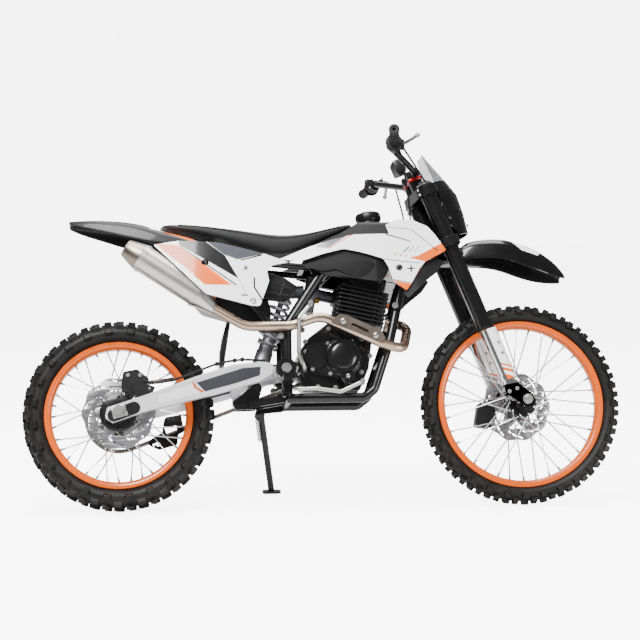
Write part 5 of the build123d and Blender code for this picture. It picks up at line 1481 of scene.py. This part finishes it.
@dataclass
class Suspension:
    """Rear spring and damper, swingarm trim, mud flap and the rear brake hose."""

    shop: Shop
    low: Point3 = (444, -26, 414)
    top: Point3 = (558, -26, 742)
    damper: Sequence[Point2] = (
        (0, 8), (14, 8), (16, 40), (27, 44), (28, 48), (28, 116), (25, 120), (25, 138),
        (35, 140), (36, 144), (34, 147), (22, 148), (20, 230), (10, 234), (10, 296),
        (35, 298), (36, 302), (30, 308), (18, 318), (0, 318))
    spring_start: float = 152.0
    spring_length: float = 142.0
    spring_radius: float = 36.0
    wire: float = 5.2
    turns: float = 6.0
    hose_side: float = -103.0
    hose: Sequence[Point3] = (
        (70, -88, 430), (99, -100, 412), (140, -103, 414), (194, -103, 426),
        (256, -103, 450), (319, -103, 474), (377, -103, 485), (423, -103, 487),
        (478, -103, 482))
    flap: Sequence[Point2] = (
        (374, 640), (356, 575), (349, 530), (348, 483), (332, 483), (334, 532), (342, 578), (360, 640))
    flap_width: float = 116.0
    hose_clips: Sequence[Point2] = ((319, 473), (377, 484), (402, 487))
    caliper_bolts: Sequence[Point2] = ((30, 440), (70, 440), (100, 396))

    def make_shock(self) -> None:
        """Makes the damper with its coil spring and eyes."""
        low, top = Vector(self.low), Vector(self.top)
        way = (top - low).normalized()
        bm = bmesh.new()
        lathe(bm, self.damper, low, way, 36)
        for eye in (low, top):
            rod(bm, eye - ACROSS * 14, eye + ACROSS * 14, 17, 28)
        self.shop.piece(bm, "shock_damper", Body.FRAME, Finishes.cast_alloy, ("shock_absorber",))
        bm = bmesh.new()
        route = coil(low + way * self.spring_start, way, way.cross(ACROSS).normalized(), ACROSS,
                     self.spring_radius - self.wire, self.turns, int(self.turns * 14), self.spring_length)
        tube(bm, route, self.wire, 3, 2)
        self.shop.piece(bm, "shock_spring", Body.FRAME, Finishes.spring_grey)

    def make_hose(self) -> None:
        """Lays the rear brake hose along the swingarm, with its clips."""
        bm = bmesh.new()
        tube(bm, self.hose, 4, 3, 5)
        for x, z in self.hose_clips:
            block(bm, (x, self.hose_side, z), (12, 13, 13), None, 2)
        self.shop.piece(bm, "rear_brake_hose", Body.FRAME, Finishes.grip)

    def make_trim(self) -> None:
        """Adds adjusters, axle nuts, caliper bolts, axle slots and the mud flap."""
        bm = bmesh.new()
        x, _, z = REAR_AXLE
        slope = Matrix.Rotation(math.radians(-14.5), 4, "Y")
        for side in SIDES:
            out, rail = (0, side, 0), side * 103.0
            bolt(bm, (x, side * 124, z), out, 14, 9)
            block(bm, (x + 2, side * 122, z - 1), (48, 5, 40), slope, 2)
            rod(bm, (x + 18, rail, z), (x + 44, rail, z + 1), 4, 10)
            rod(bm, (x + 24, rail, z), (x + 30, rail, z), 8, 6)
            bolt(bm, (545, side * 127, 455), out, 12, 6)
        for x, z in self.caliper_bolts:
            bolt(bm, (x, -96, z), RIGHT, 5, 5)
        self.shop.piece(bm, "rear_fasteners", Body.FRAME, Finishes.zinc)
        bm = bmesh.new()
        for side in SIDES:
            plate(bm, belt((-16, 306, 20), (50, 330, 19.99), 10), 1.6, side_view(side * 120.4))
        plate(bm, list(self.flap), self.flap_width, side_view(0), (), 2)
        self.shop.piece(bm, "axle_slots", Body.FRAME, Finishes.black_plastic)

    def build(self) -> None:
        """Builds the rear suspension."""
        self.make_shock()
        self.make_hose()
        self.make_trim()


@dataclass
class Engine:
    """Fasteners and fittings of the engine and its exhaust."""

    shop: Shop
    case_face: float = 78.0
    cover_face: float = 112.0
    clutch: Point2 = (732, 491)
    filter: Point2 = (745, 424)
    filter_face: float = 130.0
    shield_face: float = 171.0
    cover_bolts: Sequence[Point2] = ((764, 541), (684, 536), (610, 510), (632, 452), (690, 436))
    case_bolts: Sequence[Point2] = (
        (826, 498), (799, 410), (709, 394), (650, 396), (796, 444), (612, 548), (690, 590), (800, 556), (764, 398))
    shield_bolts: Sequence[Point2] = ((730, 599), (836, 551))
    left_bolts: Sequence[Point2] = ((680, 480), (742, 540), (792, 470), (720, 436))
    silencer: tuple[Point3, Point3] = ((75, -118, 827), (265, -118, 701))
    end_cap: Sequence[Point2] = (
        (20, -40), (20, -58.5), (28.5, -59), (31, -54), (46.5, -2), (46.5, 0), (44, 0),
        (20, -40))
    rivets: int = 10
    carburettor_nuts: Sequence[Point2] = ((640, 700), (664, 700), (652, 640))
    airbox_cover: Sequence[Point2] = (
        (436, 784), (505, 779), (553, 760), (586, 736), (586, 713), (560, 687), (527, 687), (436, 694))
    airbox_lines: Sequence[tuple[Point2, Point2]] = (
        ((508, 745), (572, 722)), ((548, 746), (530, 700)), ((480, 716), (560, 700)))
    inner_guard: Sequence[Point2] = (
        (318, 704), (436, 704), (494, 692), (503, 656), (498, 613), (456, 608), (429, 613), (387, 637), (318, 680))

    def make_covers(self) -> None:
        """Swells the clutch cover and rings it with its rims."""
        bm = bmesh.new()
        x, z = self.clutch
        lathe(bm, [(57, 0), (57.5, 22), (54, 30), (46, 35), (30, 38.5), (12, 40), (0, 40.2)],
              (x, -self.cover_face + 8, z), RIGHT, 64)
        lathe(bm, [(60, 0), (63, 2), (63, 8), (60, 11), (56, 11), (56, 0)],
              (x, -self.cover_face + 4, z), RIGHT, 64, True)
        x, z = self.filter
        lathe(bm, [(23, 0), (23, 6), (20, 9), (13, 9), (11, 12), (0, 12)],
              (x, -self.filter_face + 4, z), RIGHT, 40)
        self.shop.piece(bm, "clutch_cover_dome", Body.FRAME, Finishes.engine_black)

    def make_bolts(self) -> None:
        """Sets the silver bolts round the covers and on the shield."""
        bm = bmesh.new()
        for x, z in self.cover_bolts:
            bolt(bm, (x, -self.cover_face + 1, z), RIGHT, 5, 5)
        for x, z in self.case_bolts:
            rod(bm, (x, -self.case_face + 4, z), (x, -self.case_face - 8, z), 8, 16)
            bolt(bm, (x, -self.case_face - 8, z), RIGHT, 5.5, 5)
        x, z = self.filter
        bolt(bm, (x, -self.filter_face - 8, z), RIGHT, 8, 6, domed=True)
        for x, z in self.shield_bolts:
            bolt(bm, (x, -self.shield_face, z), RIGHT, 11, 8, domed=True)
        for x, z in self.left_bolts:
            bolt(bm, (x, 98, z), ACROSS, 5, 5)
        self.shop.piece(bm, "engine_bolts", Body.FRAME, Finishes.zinc)

    def make_exhaust(self) -> None:
        """Caps the silencer and binds it with rivets."""
        rear, front = Vector(self.silencer[0]), Vector(self.silencer[1])
        way = (front - rear).normalized()
        bm = bmesh.new()
        lathe(bm, self.end_cap, rear, way, 48)
        self.shop.piece(bm, "silencer_end_cap", Body.FRAME, Finishes.shield)
        bm = bmesh.new()
        across = way.cross(ACROSS).normalized()
        for along in (9, (front - rear).length - 9):
            for u, v in circle(0, 0, 1, self.rivets):
                out = across * u + ACROSS * v
                bolt(bm, rear + way * along + out * 47.8, out, 3, 2.2, domed=True)
        self.shop.piece(bm, "silencer_rivets", Body.FRAME, Finishes.zinc)

    def make_fittings(self) -> None:
        """Adds the airbox ribs and cover, the inner guard, the plug cap and the carburettor's nuts."""
        bm = bmesh.new()
        for i in range(5):
            block(bm, (404.0 + 14.0 * i, -62.5, 745), (4, 5, 88), None, 1)
        plate(bm, list(self.airbox_cover), 34, side_view(-76), (), 5, 2)
        for (x, z), (u, v) in self.airbox_lines:
            rod(bm, (x, -93, z), (u, -93, v), 2.6, 10)
        plate(bm, list(self.inner_guard), 5, side_view(-67), (), 1)
        rod(bm, (826, -40, 772), (838, -78, 760), 11, 18)
        rod(bm, (838, -76, 760), (800, -92, 800), 7, 14)
        self.shop.piece(bm, "airbox_ribs", Body.FRAME, Finishes.black_plastic)
        bm = bmesh.new()
        for x, z in self.carburettor_nuts:
            bolt(bm, (x, -1, z), RIGHT, 6, 6)
        self.shop.piece(bm, "carburettor_nuts", Body.FRAME, Finishes.brass)

    def build(self) -> None:
        """Builds the fittings."""
        self.make_covers()
        self.make_bolts()
        self.make_exhaust()
        self.make_fittings()


@dataclass
class Cockpit:
    """Grips, levers, switches, clamp, mask and screen."""

    shop: Shop
    bar_end: Point3 = (-66, 400, 946)
    bar_bend: Point3 = (-48, 212, 923)
    grip_length: float = 118.0
    grip_radius: float = 16.5
    mask_split: float = 800.0
    mask_screws: Sequence[Point3] = ((112, 70, 680), (106, 76, 760), (120, 48, 626))
    throttle_cable: Sequence[Point3] = (
        (-42, -246, 931), (-20, -190, 898), (-26, -120, 848), (-34, -80, 775),
        (-58, -54, 690), (-86, -42, 600))
    clutch_cable: Sequence[Point3] = (
        (-10, 238, 928), (4, 180, 888), (-20, 112, 834), (-36, 74, 765), (-60, 52, 680),
        (-88, 42, 592))
    brake_hose: Sequence[Point3] = (
        (-18, -214, 934), (4, -165, 895), (28, -112, 842), (58, -50, 772), (72, 92, 590),
        (66, 112, 470), (64, 124, 330), (52, 124, 200), (-10, 100, 60))

    def bar(self, side: int) -> tuple[Vector, Vector]:
        """End of the bar on a side, and the way from it along the bar."""
        end = steer(self.bar_end[0], side * self.bar_end[1], self.bar_end[2])
        bend = steer(self.bar_bend[0], side * self.bar_bend[1], self.bar_bend[2])
        return end, (bend - end).normalized()

    def make_grips(self) -> None:
        """Turns the ribbed grips, each with a flange."""
        radius, length = self.grip_radius, self.grip_length
        profile = [(5, 24), (5, 0.5), (12, -1.5), (radius + 1, 0), (radius + 1, 8)]
        for i in range(12):
            along = 10.0 + 8.0 * i
            profile += [(radius - 1.2, along), (radius - 1.2, along + 2), (radius, along + 2.6),
                        (radius, along + 7.4)]
        profile += [(radius, 109), (26, 111), (27.5, 113), (27.5, 117), (24, length), (12, length)]
        bm = bmesh.new()
        for side in SIDES:
            end, way = self.bar(side)
            lathe(bm, profile, end, way, 32)
        self.shop.piece(bm, "grip_ribs", Body.STEERING, Finishes.grip, ("grips",))

    def make_controls(self) -> None:
        """Makes the throttle case, perches, levers and switches."""
        dark, bright, red = bmesh.new(), bmesh.new(), bmesh.new()
        clip = [(11, -11), (17, -11), (18.5, -9), (18.5, 9), (17, 11), (11, 11)]
        ball = [(0, -8.5), (4.5, -7), (7.5, -3.5), (8.5, 0), (7.5, 3.5), (4.5, 7), (0, 8.5)]
        for side in SIDES:
            end, way = self.bar(side)
            case = 26.0 if side < 0 else 21.0
            lathe(dark, [(11, 120), (case - 2, 120), (case, 123), (case, 143), (case - 3, 147),
                         (11, 147)], end, way, 28)
            perch = end + way * 163.0
            lathe(dark, clip, perch, way, 24)
            pivot = perch + FORWARD * 34.0
            turn = facing(way)
            block(dark, perch + FORWARD * 22, (18, 26, 24), turn, 3)
            if side < 0:
                tank = perch + FORWARD * 26.0 + way * 22.0
                block(dark, tank + UPWARD * 8, (30, 24, 44), turn, 4)
                block(dark, tank + UPWARD * 24, (10, 28, 48), turn, 2)
            else:
                block(dark, end + way * 134.0 + UPWARD * 14.0 - FORWARD * 8, (30, 36, 26), turn, 5)
                block(red, end + way * 128.0 - FORWARD * 20.0 + UPWARD * 12, (12, 6, 10), turn, 2)
            tip = end + way * 16.0 + FORWARD * 66.0 - UPWARD * 40.0
            middle = pivot.lerp(tip, 0.45) + FORWARD * 9.0
            tube(bright, [pivot, pivot.lerp(middle, 0.4), middle, middle.lerp(tip, 0.6), tip], 5.5, 3, 6)
            lathe(bright, ball, tip, way, 18)
            bolt(bright, pivot + UPWARD * 13, UPWARD, 5, 4)
            bolt(bright, perch - FORWARD * 18, -FORWARD, 4, 4)
        self.shop.piece(dark, "control_housings", Body.STEERING, Finishes.fin_black, ("hand_controls",))
        self.shop.piece(bright, "control_levers", Body.STEERING, Finishes.cast_alloy)
        self.shop.piece(red, "stop_switch", Body.STEERING, Finishes.red)

    def make_clamps(self) -> None:
        """Adds the red bar clamp, the fork caps, the pinch bolts and the instrument pod."""
        slope = Matrix((FORWARD, ACROSS, UPWARD)).transposed().to_4x4()
        bm = bmesh.new()
        for side in SIDES:
            block(bm, steer(19, side * 42, 838), (50, 42, 11), slope, 3)
        block(bm, steer(19, 0, 838), (34, 60, 9), slope, 2)
        self.shop.piece(bm, "bar_clamp_caps", Body.STEERING, Finishes.red)
        bm = bmesh.new()
        for side in SIDES:
            lathe(bm, [(26, 0), (26, 4), (20, 6), (16, 6), (16, 12), (8, 13), (0, 13)],
                  steer(28, side * 105, 797), UPWARD, 24)
            back = -FORWARD + ACROSS * side * 0.5
            for along in (586, 775):
                for step in (-8, 8):
                    bolt(bm, steer(-4, side * 128, along + step), back, 4.5, 5, domed=True)
            for corner in SIDES:
                bolt(bm, steer(19.0 + corner * 15, side * 42, 871), UPWARD, 4.5, 5, domed=True)
        self.shop.piece(bm, "clamp_bolts", Body.STEERING, Finishes.zinc)
        bm = bmesh.new()
        block(bm, steer(-8, -8, 904), (38, 72, 50), slope, 7)
        self.shop.piece(bm, "instrument_pod", Body.STEERING, Finishes.black_plastic)

    def make_mask(self) -> None:
        """Splits the mask into its shell and its smoked screen."""
        split = self.shop.stance.matrix @ steer(0, 0, self.mask_split)
        up = (self.shop.stance.matrix.to_3x3() @ UPWARD).normalized()
        for name, finish, clear_above, nodes in (("mask_shell", Finishes.gloss_black, True, ("front_mask",)),
                                                 ("mask_screen", Finishes.smoked, False, ())):
            bm = bmesh.new()
            bm.from_mesh(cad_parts["front_mask"].data)
            bmesh.ops.remove_doubles(bm, verts=bm.verts[:], dist=NODE_WELD)
            cut = bmesh.ops.bisect_plane(bm, geom=bm.verts[:] + bm.edges[:] + bm.faces[:], dist=1e-6, plane_co=split,
                                         plane_no=up, clear_outer=clear_above, clear_inner=not clear_above)
            rim = [e for e in cut["geom_cut"] if isinstance(e, bmesh.types.BMEdge)]
            bmesh.ops.holes_fill(bm, edges=rim, sides=0)
            self.shop.piece(bm, name, Body.STEERING, finish, nodes, leaned=True)
        bm = bmesh.new()
        for side in SIDES:
            out = FORWARD + ACROSS * side * 1.1
            for ahead, lateral, along in self.mask_screws:
                bolt(bm, steer(ahead + 6, side * lateral, along), out, 5, 4, domed=True)
        self.shop.piece(bm, "mask_screws", Body.STEERING, Finishes.frame_black)

    def make_cables(self) -> None:
        """Runs throttle and clutch cables to the frame and the brake hose down the fork."""
        for name, route in (("throttle_cable", self.throttle_cable), ("clutch_cable", self.clutch_cable)):
            bm = bmesh.new()
            points = [steer(*point) for point in route]
            tube(bm, points, 3.2, 3, 8)
            self.shop.piece(bm, name, Body.STEERING, Finishes.grip, bend=(points[3], points[5]))
        bm = bmesh.new()
        tube(bm, [steer(*point) for point in self.brake_hose], 3.4, 3, 8)
        self.shop.piece(bm, "front_brake_hose", Body.STEERING, Finishes.grip)

    def build(self) -> None:
        """Builds everything round the handlebar."""
        self.make_grips()
        self.make_controls()
        self.make_clamps()
        self.make_mask()
        self.make_cables()


@dataclass
class Fork:
    """Trim of the fork, front axle and caliper."""

    shop: Shop
    half: float = 105.0
    offset: float = 28.0
    tube_end: float = 275.0
    caliper_bolts: Sequence[Point3] = ((1216, 84, 296), (1246, 84, 330))

    def build(self) -> None:
        """Makes the wiper rings, pinch bolts and axle nuts."""
        for name, finish, inner, outer, height, drop in (("fork_wipers", Finishes.grip, 24.2, 28.6, 12, 9),
                                                         ("fork_rings", Finishes.brass, 24, 27.2, 3, 12)):
            bm = bmesh.new()
            for side in SIDES:
                lathe(bm, [(inner, 0), (outer, 0), (outer, height), (inner, height)],
                      steer(self.offset, side * self.half, self.tube_end - drop), UPWARD, 32, True)
            self.shop.piece(bm, name, Body.STEERING, finish)
        bm = bmesh.new()
        x, _, z = FRONT_AXLE
        for side in SIDES:
            bolt(bm, (x, side * 128, z), (0, side, 0), 13, 9)
            for shift in (-14, 14):
                bolt(bm, steer(self.offset + shift, side * 127, 46), (0, side, 0), 5, 6)
            for along in (112, 236):
                bolt(bm, steer(58, side * 112, along), FORWARD, 4.5, 4, domed=True)
        for spot in self.caliper_bolts:
            bolt(bm, spot, ACROSS, 5.5, 6)
        self.shop.piece(bm, "fork_bolts", Body.STEERING, Finishes.zinc)


@dataclass
class Fittings:
    """Tank cap, foot pegs' teeth, stand spring and frame bolts."""

    shop: Shop
    cap: Point3 = (850, 0, 950)
    cap_profile: Sequence[Point2] = (
        (62, -8), (60, 2), (52, 10), (40, 16), (38, 22), (41, 24), (42, 28), (42, 46),
        (39, 52), (26, 55), (22, 58), (0, 58))
    cap_ribs: int = 24
    frame_bolts: Sequence[Point3] = (
        (529, 121, 561), (620, 100, 622), (519, 121, 416), (915, 92, 666))
    spring_turns: int = 14

    def make_cap(self) -> None:
        """Turns the fuel cap and gives it a ribbed rim."""
        bm = bmesh.new()
        lathe(bm, self.cap_profile, self.cap, (-0.1, 0, 1), 48)
        x, _, z = self.cap
        for i, (u, v) in enumerate(circle(x, 0, 41.5, self.cap_ribs)):
            turn = Matrix.Rotation(TAU * i / self.cap_ribs, 4, "Z")
            block(bm, (u - 3.7, v, z + 37), (5, 4, 16), turn, 1)
        self.shop.piece(bm, "fuel_cap", Body.FRAME, Finishes.black_plastic)

    def make_pegs(self) -> None:
        """Sets two rows of teeth on each foot peg."""
        bm = bmesh.new()
        for side in SIDES:
            for row in (-17, 17):
                for i in range(11):
                    spot = Vector((548.0 + row, side * (130.0 + 9.4 * i), 420))
                    rod(bm, spot, spot + Vector((0, 0, 8)), 4.5, 4, 1)
        self.shop.piece(bm, "peg_teeth", Body.FRAME, Finishes.frame_black)

    def make_stand_spring(self) -> None:
        """Winds the stand's spring beside the upper part of its leg."""
        low, way = Vector((475, 110, 346)), Vector((48, 247, -250)).normalized()
        across = way.cross(Vector((1, 0, 0))).normalized()
        start = low + Vector((-17, 0, 0)) + way * 34.0
        bm = bmesh.new()
        tube(bm, coil(start, way, across, way.cross(across), 6, self.spring_turns, self.spring_turns * 10, 96),
             1.7, 2, 2)
        self.shop.piece(bm, "stand_spring", Body.STAND, Finishes.zinc)

    def make_frame_bolts(self) -> None:
        """Sets the bolts that hold engine, subframe and bodywork."""
        bm = bmesh.new()
        for x, lateral, z in self.frame_bolts:
            for side in SIDES:
                bolt(bm, (x, side * lateral, z), (0, side, 0), 8, 6)
        self.shop.piece(bm, "frame_bolts", Body.FRAME, Finishes.zinc)

    def build(self) -> None:
        """Builds the fittings."""
        self.make_cap()
        self.make_pegs()
        self.make_stand_spring()
        self.make_frame_bolts()


@dataclass
class Studio:
    """Floor, light and camera."""

    shop: Shop
    camera_place: Point3 = (64.3, -5627.8, 1025)
    camera_yaw: float = math.radians(5.99)
    camera_pitch: float = math.radians(4.03)
    lens: float = 97.8
    floor_half: float = 30.0
    room: float = 0.25
    backdrop: float = 6.5
    glow: float = 6.0
    lamp_aim: Point3 = (0, 0, 0.55)
    lamps: Sequence[tuple[str, Point3, float, float]] = (
        ("key", (-1.7, -2.9, 4.4), 2.2, 560),
        ("fill", (3.4, -4, 0.9), 2, 150),
        ("top", (0, 0.3, 4.8), 3.2, 400),
        ("back", (0.6, 4.4, 3.6), 2.6, 90),
    )

    def make_camera(self) -> None:
        """Sets the camera where the photograph was taken from."""
        data = bpy.data.cameras.new("camera")
        data.lens = self.lens
        data.sensor_width = 36.0
        camera = bpy.data.objects.new("camera", data)
        bpy.context.scene.collection.objects.link(camera)
        ground = Vector((self.shop.stance.shift.x, self.shop.stance.shift.y, 0))
        camera.location = ground + Vector(self.camera_place) * MM
        yaw, pitch = self.camera_yaw, self.camera_pitch
        look = Vector((math.sin(yaw) * math.cos(pitch), math.cos(yaw) * math.cos(pitch), -math.sin(pitch)))
        camera.rotation_mode = "QUATERNION"
        camera.rotation_quaternion = look.to_track_quat("-Z", "Y")
        bpy.context.scene.camera = camera

    def make_floor(self) -> None:
        """Lays a plain pale floor."""
        bm = bmesh.new()
        bmesh.ops.create_grid(bm, x_segments=2, y_segments=2, size=self.floor_half)
        mesh = bpy.data.meshes.new("floor")
        bm.to_mesh(mesh)
        bm.free()
        floor = bpy.data.objects.new("floor", mesh)
        bpy.context.scene.collection.objects.link(floor)
        material = self.shop.material(Finish("pale_floor", "white_plastic", (0.86, 0.86, 0.86), (0.83, 0.83, 0.83),
                                             (0.6, 0.7), grain=30.0, depth=0.0))
        n = Nodes(material.node_tree)
        surface = n.tree.nodes["Principled BSDF"]
        surface.inputs["Emission Color"].default_value = (1, 1, 1, 1)
        bright = n.math("MULTIPLY", n.add("LightPath").outputs["Is Camera Ray"], self.glow)
        n.feed(surface.inputs["Emission Strength"], bright)
        mesh.materials.append(material)

    def make_light(self) -> None:
        """Hangs soft boxes around the machine and lights the room evenly."""
        for name, place, size, power in self.lamps:
            data = bpy.data.lights.new(name, "AREA")
            data.shape = "SQUARE"
            data.size = size
            data.energy = power
            lamp = bpy.data.objects.new(name, data)
            lamp.location = place
            lamp.rotation_mode = "QUATERNION"
            lamp.rotation_quaternion = (Vector(self.lamp_aim) - Vector(place)).to_track_quat("-Z", "Y")
            bpy.context.scene.collection.objects.link(lamp)
        world = bpy.data.worlds.new("room")
        world.use_nodes = True
        n = Nodes(world.node_tree)
        background = n.tree.nodes["Background"]
        background.inputs["Color"].default_value = (1, 1, 1, 1)
        seen = n.add("LightPath").outputs["Is Camera Ray"]
        n.feed(background.inputs["Strength"], n.remap(seen, (0, 1), (self.room, self.backdrop)))
        bpy.context.scene.world = world

    def build(self) -> None:
        """Builds the whole studio."""
        self.make_camera()
        self.make_floor()
        self.make_light()


def main() -> None:
    """Builds the machine and its studio, in order."""
    logging.basicConfig(level=logging.INFO, format="%(name)s: %(message)s")
    shop = Shop()
    for finish, nodes in PLAIN:
        for node in nodes:
            shop.dress(node, finish)
    for node, body, finish, bevel in SOFTENED:
        shop.soften(node, body, finish, bevel)
    rear_tread = (Knob(0, 0.18, 29, 17), Knob(0.5, 0.46, 27, 17), Knob(0, 0.74, 28, 18),
                  Knob(0.5, 0.95, 25, 18))
    front_tread = (Knob(0, 0.22, 22, 16), Knob(0.5, 0.58, 21, 16), Knob(0, 0.88, 21, 17))
    assemblies = [
        SpokedWheel(shop, "rear", Body.REAR_WHEEL, REAR_AXLE, tip=314.0, tyre_half=53.0, rim=242.6, rim_half=30.0,
                    flange=62.0, flange_half=42.0, barrel=32.0, hub_right=70.0, hub_left=66.0, bore=13.0, rows=24,
                    tread=rear_tread),
        SpokedWheel(shop, "front", Body.FRONT_WHEEL, FRONT_AXLE, tip=337.0, tyre_half=41.0, rim=280.7, rim_half=24.0,
                    flange=48.0, flange_half=36.0, barrel=26.0, hub_right=56.0, hub_left=58.0, bore=12.0, rows=32,
                    tread=front_tread, knob_height=12.0),
        BrakeDisc(shop, "rear", Body.REAR_WHEEL, REAR_AXLE, lateral=-72, radius=120.0, flange=62.0),
        BrakeDisc(shop, "front", Body.FRONT_WHEEL, FRONT_AXLE, lateral=60.0, radius=118.0, flange=46.0),
        Drive(shop),
        Suspension(shop),
        Engine(shop),
        Cockpit(shop),
        Fork(shop),
        Fittings(shop),
        Bodywork(shop),
        Seat(shop),
        Studio(shop),
    ]
    for assembly in assemblies:
        assembly.build()


if __name__ == "__main__":
    main()
